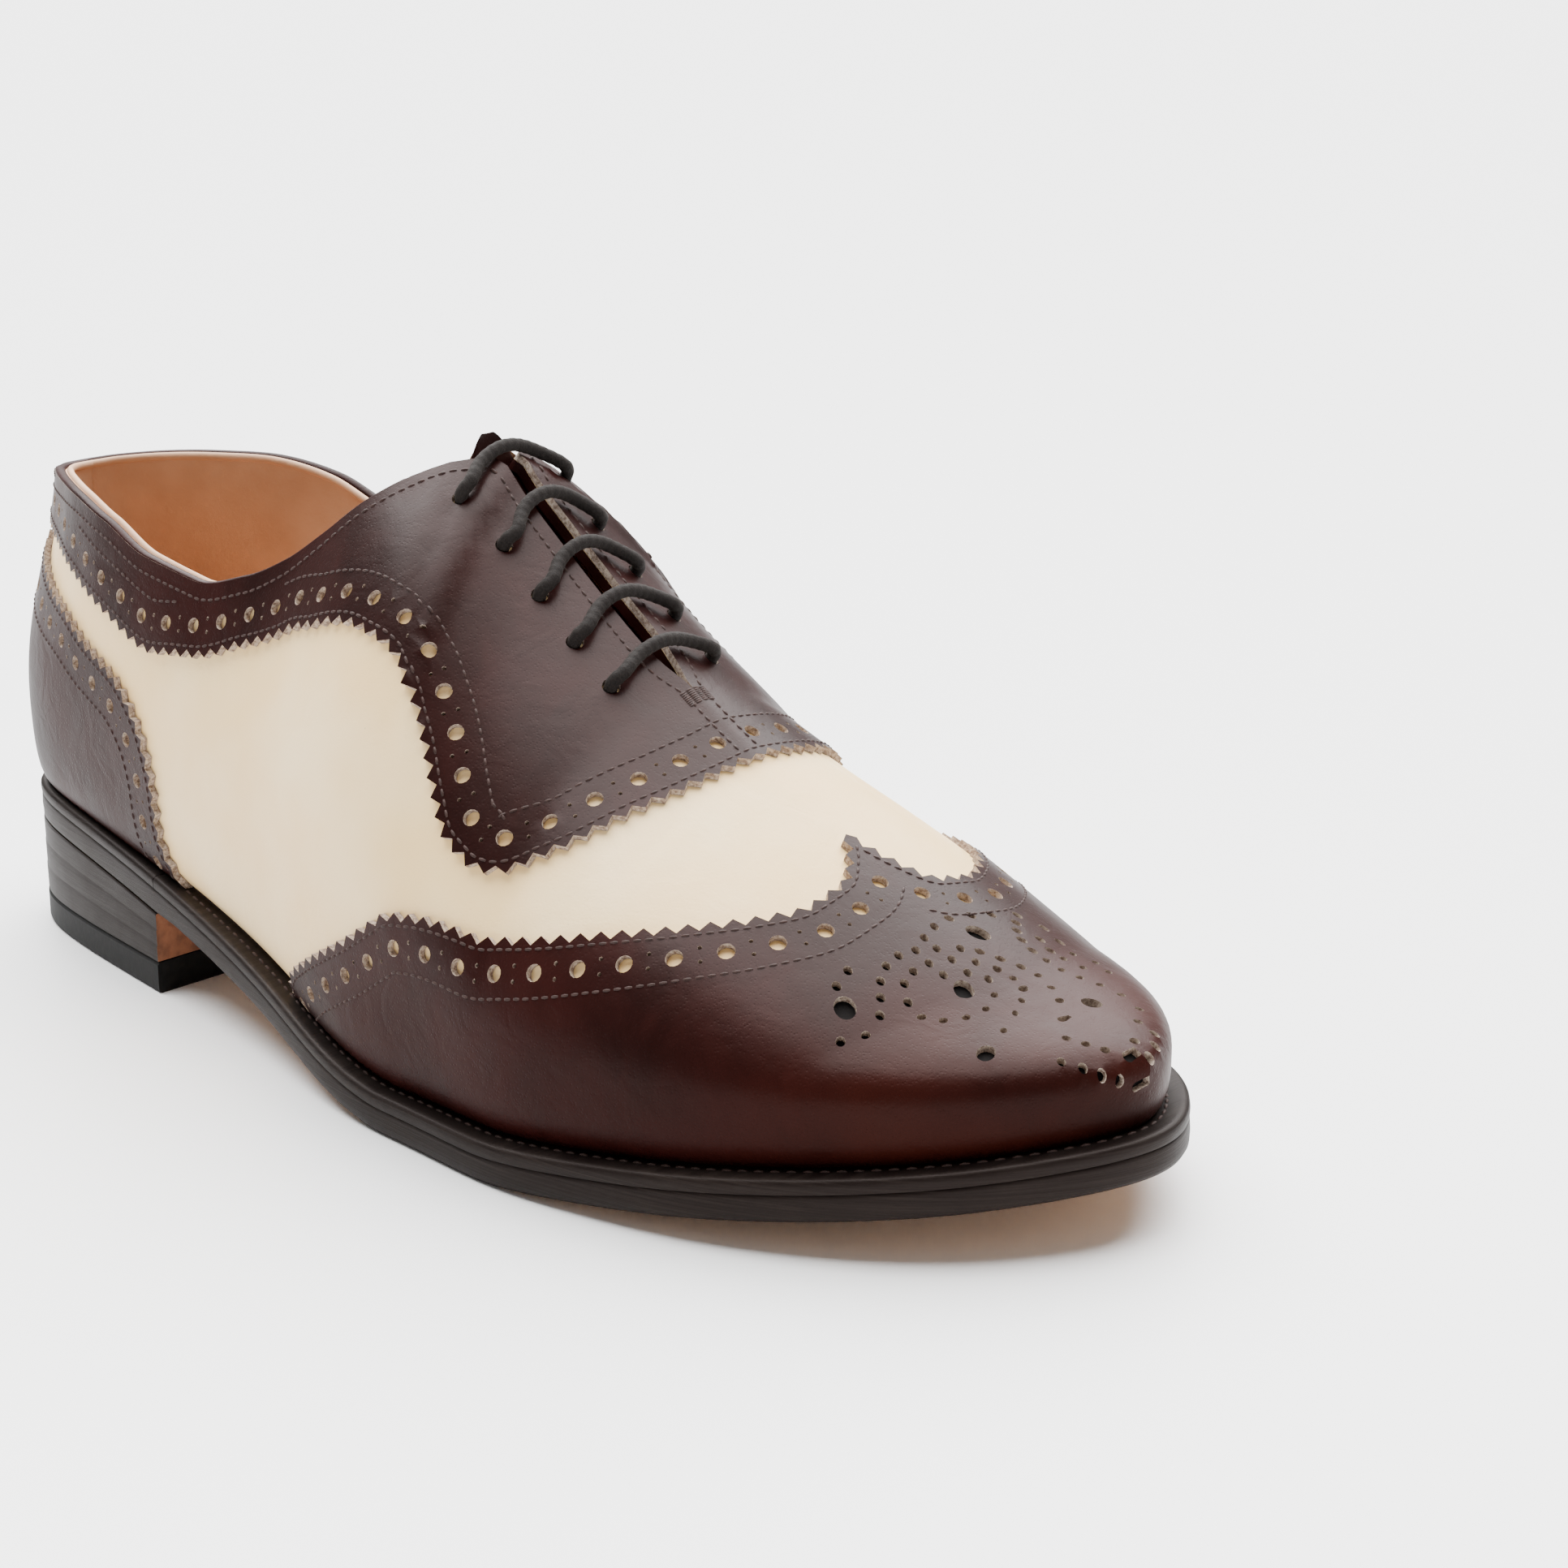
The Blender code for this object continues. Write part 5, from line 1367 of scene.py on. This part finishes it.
# Ahead of the heel the lower edge is rounded, and over the heel it is trimmed square
FREE = ease((FINE_U - HEEL_COLUMN) / 0.02)
outsole_levels = above_sole([
    OUTSOLE_THICKNESS + GAP * 0.8, OUTSOLE_THICKNESS, OUTSOLE_THICKNESS - 0.0005, OUTSOLE_THICKNESS / 2,
    0.0011, 0.0003, 0.0,
])
outsole_insets = [0.0003, 0.0001, 0.0, -0.0001, 0.0, 0.0005 * FREE, 0.0002 + 0.0012 * FREE]
outsole = plate("leather_outsole", FINE_U, outsole_insets, outsole_levels, [EDGE, TREAD])
finished(outsole, "sole_edge", "outsole")

BACK_U = np.linspace(0, HEEL_COLUMN, 60)
STACK_FLARE = HEEL_FLARE * 0.7
# The lifts' lines are shallow dents, at these shares of the stack's height
stack_levels = lift_levels([1.0, 0.98, 0.96, 0.69, 0.67, 0.65, 0.36, 0.34, 0.32, 0.02, 0.0])
line_depth = (0.0001, 0.0, 0.0, 0.0, 0.00007, 0.0, 0.0, 0.00007, 0.0, 0.0, 0.0001)
stack_insets = [dent - STACK_FLARE * k / 10 for k, dent in enumerate(line_depth)]
stack = plate("heel_lifts", BACK_U, stack_insets, stack_levels, [STACK, STACK, BREAST])
finished(stack, "sole_edge", "heel_stack")

piece_levels = [lambda x, height=height: height + 0 * x
                for height in (TOP_PIECE_THICKNESS, 0.0061, 0.0008, 0.0002, 0.0)]
piece_insets = [
    0.0004 - STACK_FLARE, -HEEL_FLARE * 0.8, -HEEL_FLARE, 0.0002 - HEEL_FLARE, 0.0007 - HEEL_FLARE,
]
finished(plate("heel_top_piece", BACK_U, piece_insets, piece_levels, [RUBBER]), "top_rubber", "top_piece")

insole_u = FINE_U[2:]
insole_clear = feather_inset(insole_u) + WALL + 0.0009
SOCK = SEAT + WELT_THICKNESS + INSOLE_RISE
insole = plate("insole_leather", insole_u, [insole_clear + 0.0006, insole_clear, insole_clear],
               above_sole([SOCK, SOCK - 0.0005, SEAT]), [LINING])
finished(insole, "lining_leather", "insole")

# %% [markdown]
# The welt is a narrow strip round the forefoot and waist, sewn down through the outsole. The rand takes its
# place round the heel seat. Its upper edge is wheeled: a row of close small notches.


# %% Welt, rand and their marks
def strip(name, w, notch):
    """A strip along the sole's edge. Its ring goes up the edge, over the bevel, in over the top and back."""
    low, high = SEAT, SEAT + WELT_THICKNESS
    within = feather_inset(w) + WALL
    ripple = notch * (0.5 + 0.5 * np.cos(np.arange(len(w)) * np.pi))
    rows = []
    for inset, height in (
        (0.0001, low), (0.0, low + 0.0002), (-0.0001, low + 0.0012), (0.0, high - 0.0007),
        (0.0003 + ripple * 0.5, high - 0.0002 - ripple), (0.0009, high + 0.00005 - ripple * 0.5),
        (0.0017, high), (within * 0.6, high), (within, high), (within, low),
    ):
        flat, _ = plan(w, inset)
        rows.append(np.column_stack([flat, sole_bottom(flat[:, 0]) + height]))
    return make(name, np.stack(rows, 1) - ORIGIN, tube_faces(len(w), len(rows)), [EDGE], sharp=50)


JOINT = 0.0003
welt_side = np.concatenate([np.linspace(HEEL_COLUMN + JOINT, 0.8, 330)[:-1], np.linspace(0.8, 1, 120)])
welt = strip("stitched_welt", np.concatenate([welt_side, -welt_side[::-1][1:]]), 0.00012)
finished(welt, "sole_edge", "welt")
rand = strip("heel_seat_rand", np.linspace(-HEEL_COLUMN + JOINT, HEEL_COLUMN - JOINT, 331), 0.00022)
finished(rand, "sole_edge", "heel_rand")


def welt_seam():
    """Stitches on the welt, 3 mm apart, on a line close to the upper."""
    side = np.linspace(HEEL_COLUMN + 0.01, 1, 900)
    w = np.concatenate([side, -side[::-1][1:]])
    flat, _ = plan(w, 0.0030 + 0.3 * np.maximum(feather_inset(w) - 0.0045, 0))
    line = np.column_stack([flat, welt_top(flat[:, 0])]) - ORIGIN
    run = distances(line)
    places = np.arange(0.0015, run[-1], 0.0029)
    spots = np.stack([np.interp(places, run, line[:, k]) for k in range(3)], -1)
    along = unit(np.gradient(spots, axis=0))
    normal = unit(np.cross(along, np.cross(np.array([0.0, 0.0, 1.0]), along)))
    return capsules(spots, along, normal, (2.3 * MM, 0.75 * MM), 0.05 * MM)


finished(thread_piece("welt_seam", [welt_seam()], THREAD), "sole_edge")

# %% [markdown]
# The studio: a pale floor, one broad soft sun from above and behind, and an even surround that fills the
# shadows. The camera repeats the photograph's angle, 45 degrees round and 17 degrees up.


# %% Floor, light and camera
def floor():
    mesh = bpy.data.meshes.new("floor")
    half = 14.0
    corners = [(-half, -half, 0), (half, -half, 0), (half, half, 0), (-half, half, 0)]
    mesh.from_pydata(corners, [], [(0, 1, 2, 3)])
    pale = Finish("pale floor", Roughness=0.45, Specular_IOR_Level=0.25)
    pale.set(Base_Color=(0.86, 0.86, 0.86, 1))
    mesh.materials.append(pale.material)
    item = bpy.data.objects.new("floor", mesh)
    bpy.context.scene.collection.objects.link(item)


def sun(place, power, breadth):
    """A sun from the way of a place, turned to shine on the shoe. Its breadth softens the shadows."""
    light = bpy.data.lights.new("overhead", "SUN")
    light.energy, light.angle = power, np.radians(breadth)
    item = bpy.data.objects.new("overhead", light)
    turn = (Vector(place) - Vector((0, 0, 0.05))).to_track_quat("Z", "Y").to_matrix().to_4x4()
    item.matrix_world = Matrix.Translation(place) @ turn
    bpy.context.scene.collection.objects.link(item)


CAMERA_AZIMUTH, CAMERA_ELEVATION, CAMERA_ROLL = np.radians([45.33, 16.58, -1.62])
CAMERA_DISTANCE = 0.62249
CAMERA_TARGET = np.array([0.16221, 0.05799, 0.040])
PHOTO = 1932
FOCAL_PIXELS, CENTRE_X, CENTRE_Y = 3737.55, 956.76, 967.97


def camera():
    """The photograph's camera: its axes from azimuth, elevation and roll, its lens from the focal length."""
    around, up = CAMERA_AZIMUTH, CAMERA_ELEVATION
    back = np.array([np.sin(around) * np.cos(up), -np.cos(around) * np.cos(up), np.sin(up)])
    right = unit(np.cross(-back, [0.0, 0.0, 1.0]))
    above = np.cross(right, -back)
    rolled = np.cos(CAMERA_ROLL) * right + np.sin(CAMERA_ROLL) * above
    upright = -np.sin(CAMERA_ROLL) * right + np.cos(CAMERA_ROLL) * above
    place = CAMERA_TARGET - ORIGIN + back * CAMERA_DISTANCE
    data = bpy.data.cameras.new("camera")
    data.sensor_width = 36
    data.lens = FOCAL_PIXELS / PHOTO * data.sensor_width
    data.shift_x, data.shift_y = (PHOTO / 2 - CENTRE_X) / PHOTO, (CENTRE_Y - PHOTO / 2) / PHOTO
    data.clip_start, data.clip_end = 0.01, 100
    item = bpy.data.objects.new("camera", data)
    matrix = np.eye(4)
    matrix[:3, 0], matrix[:3, 1], matrix[:3, 2], matrix[:3, 3] = rolled, upright, back, place
    item.matrix_world = Matrix(matrix.tolist())
    bpy.context.scene.collection.objects.link(item)
    bpy.context.scene.camera = item


def surround(strength):
    """An even, faintly warm light from all sides."""
    world = bpy.data.worlds.new("surround")
    world.use_nodes = True
    light = world.node_tree.nodes["Background"].inputs
    light["Color"].default_value = (1.0, 0.985, 0.97, 1)
    light["Strength"].default_value = strength
    bpy.context.scene.world = world


floor()
sun((-0.32, 0.34, 1.0), 17.0, 84)
surround(0.40)
camera()
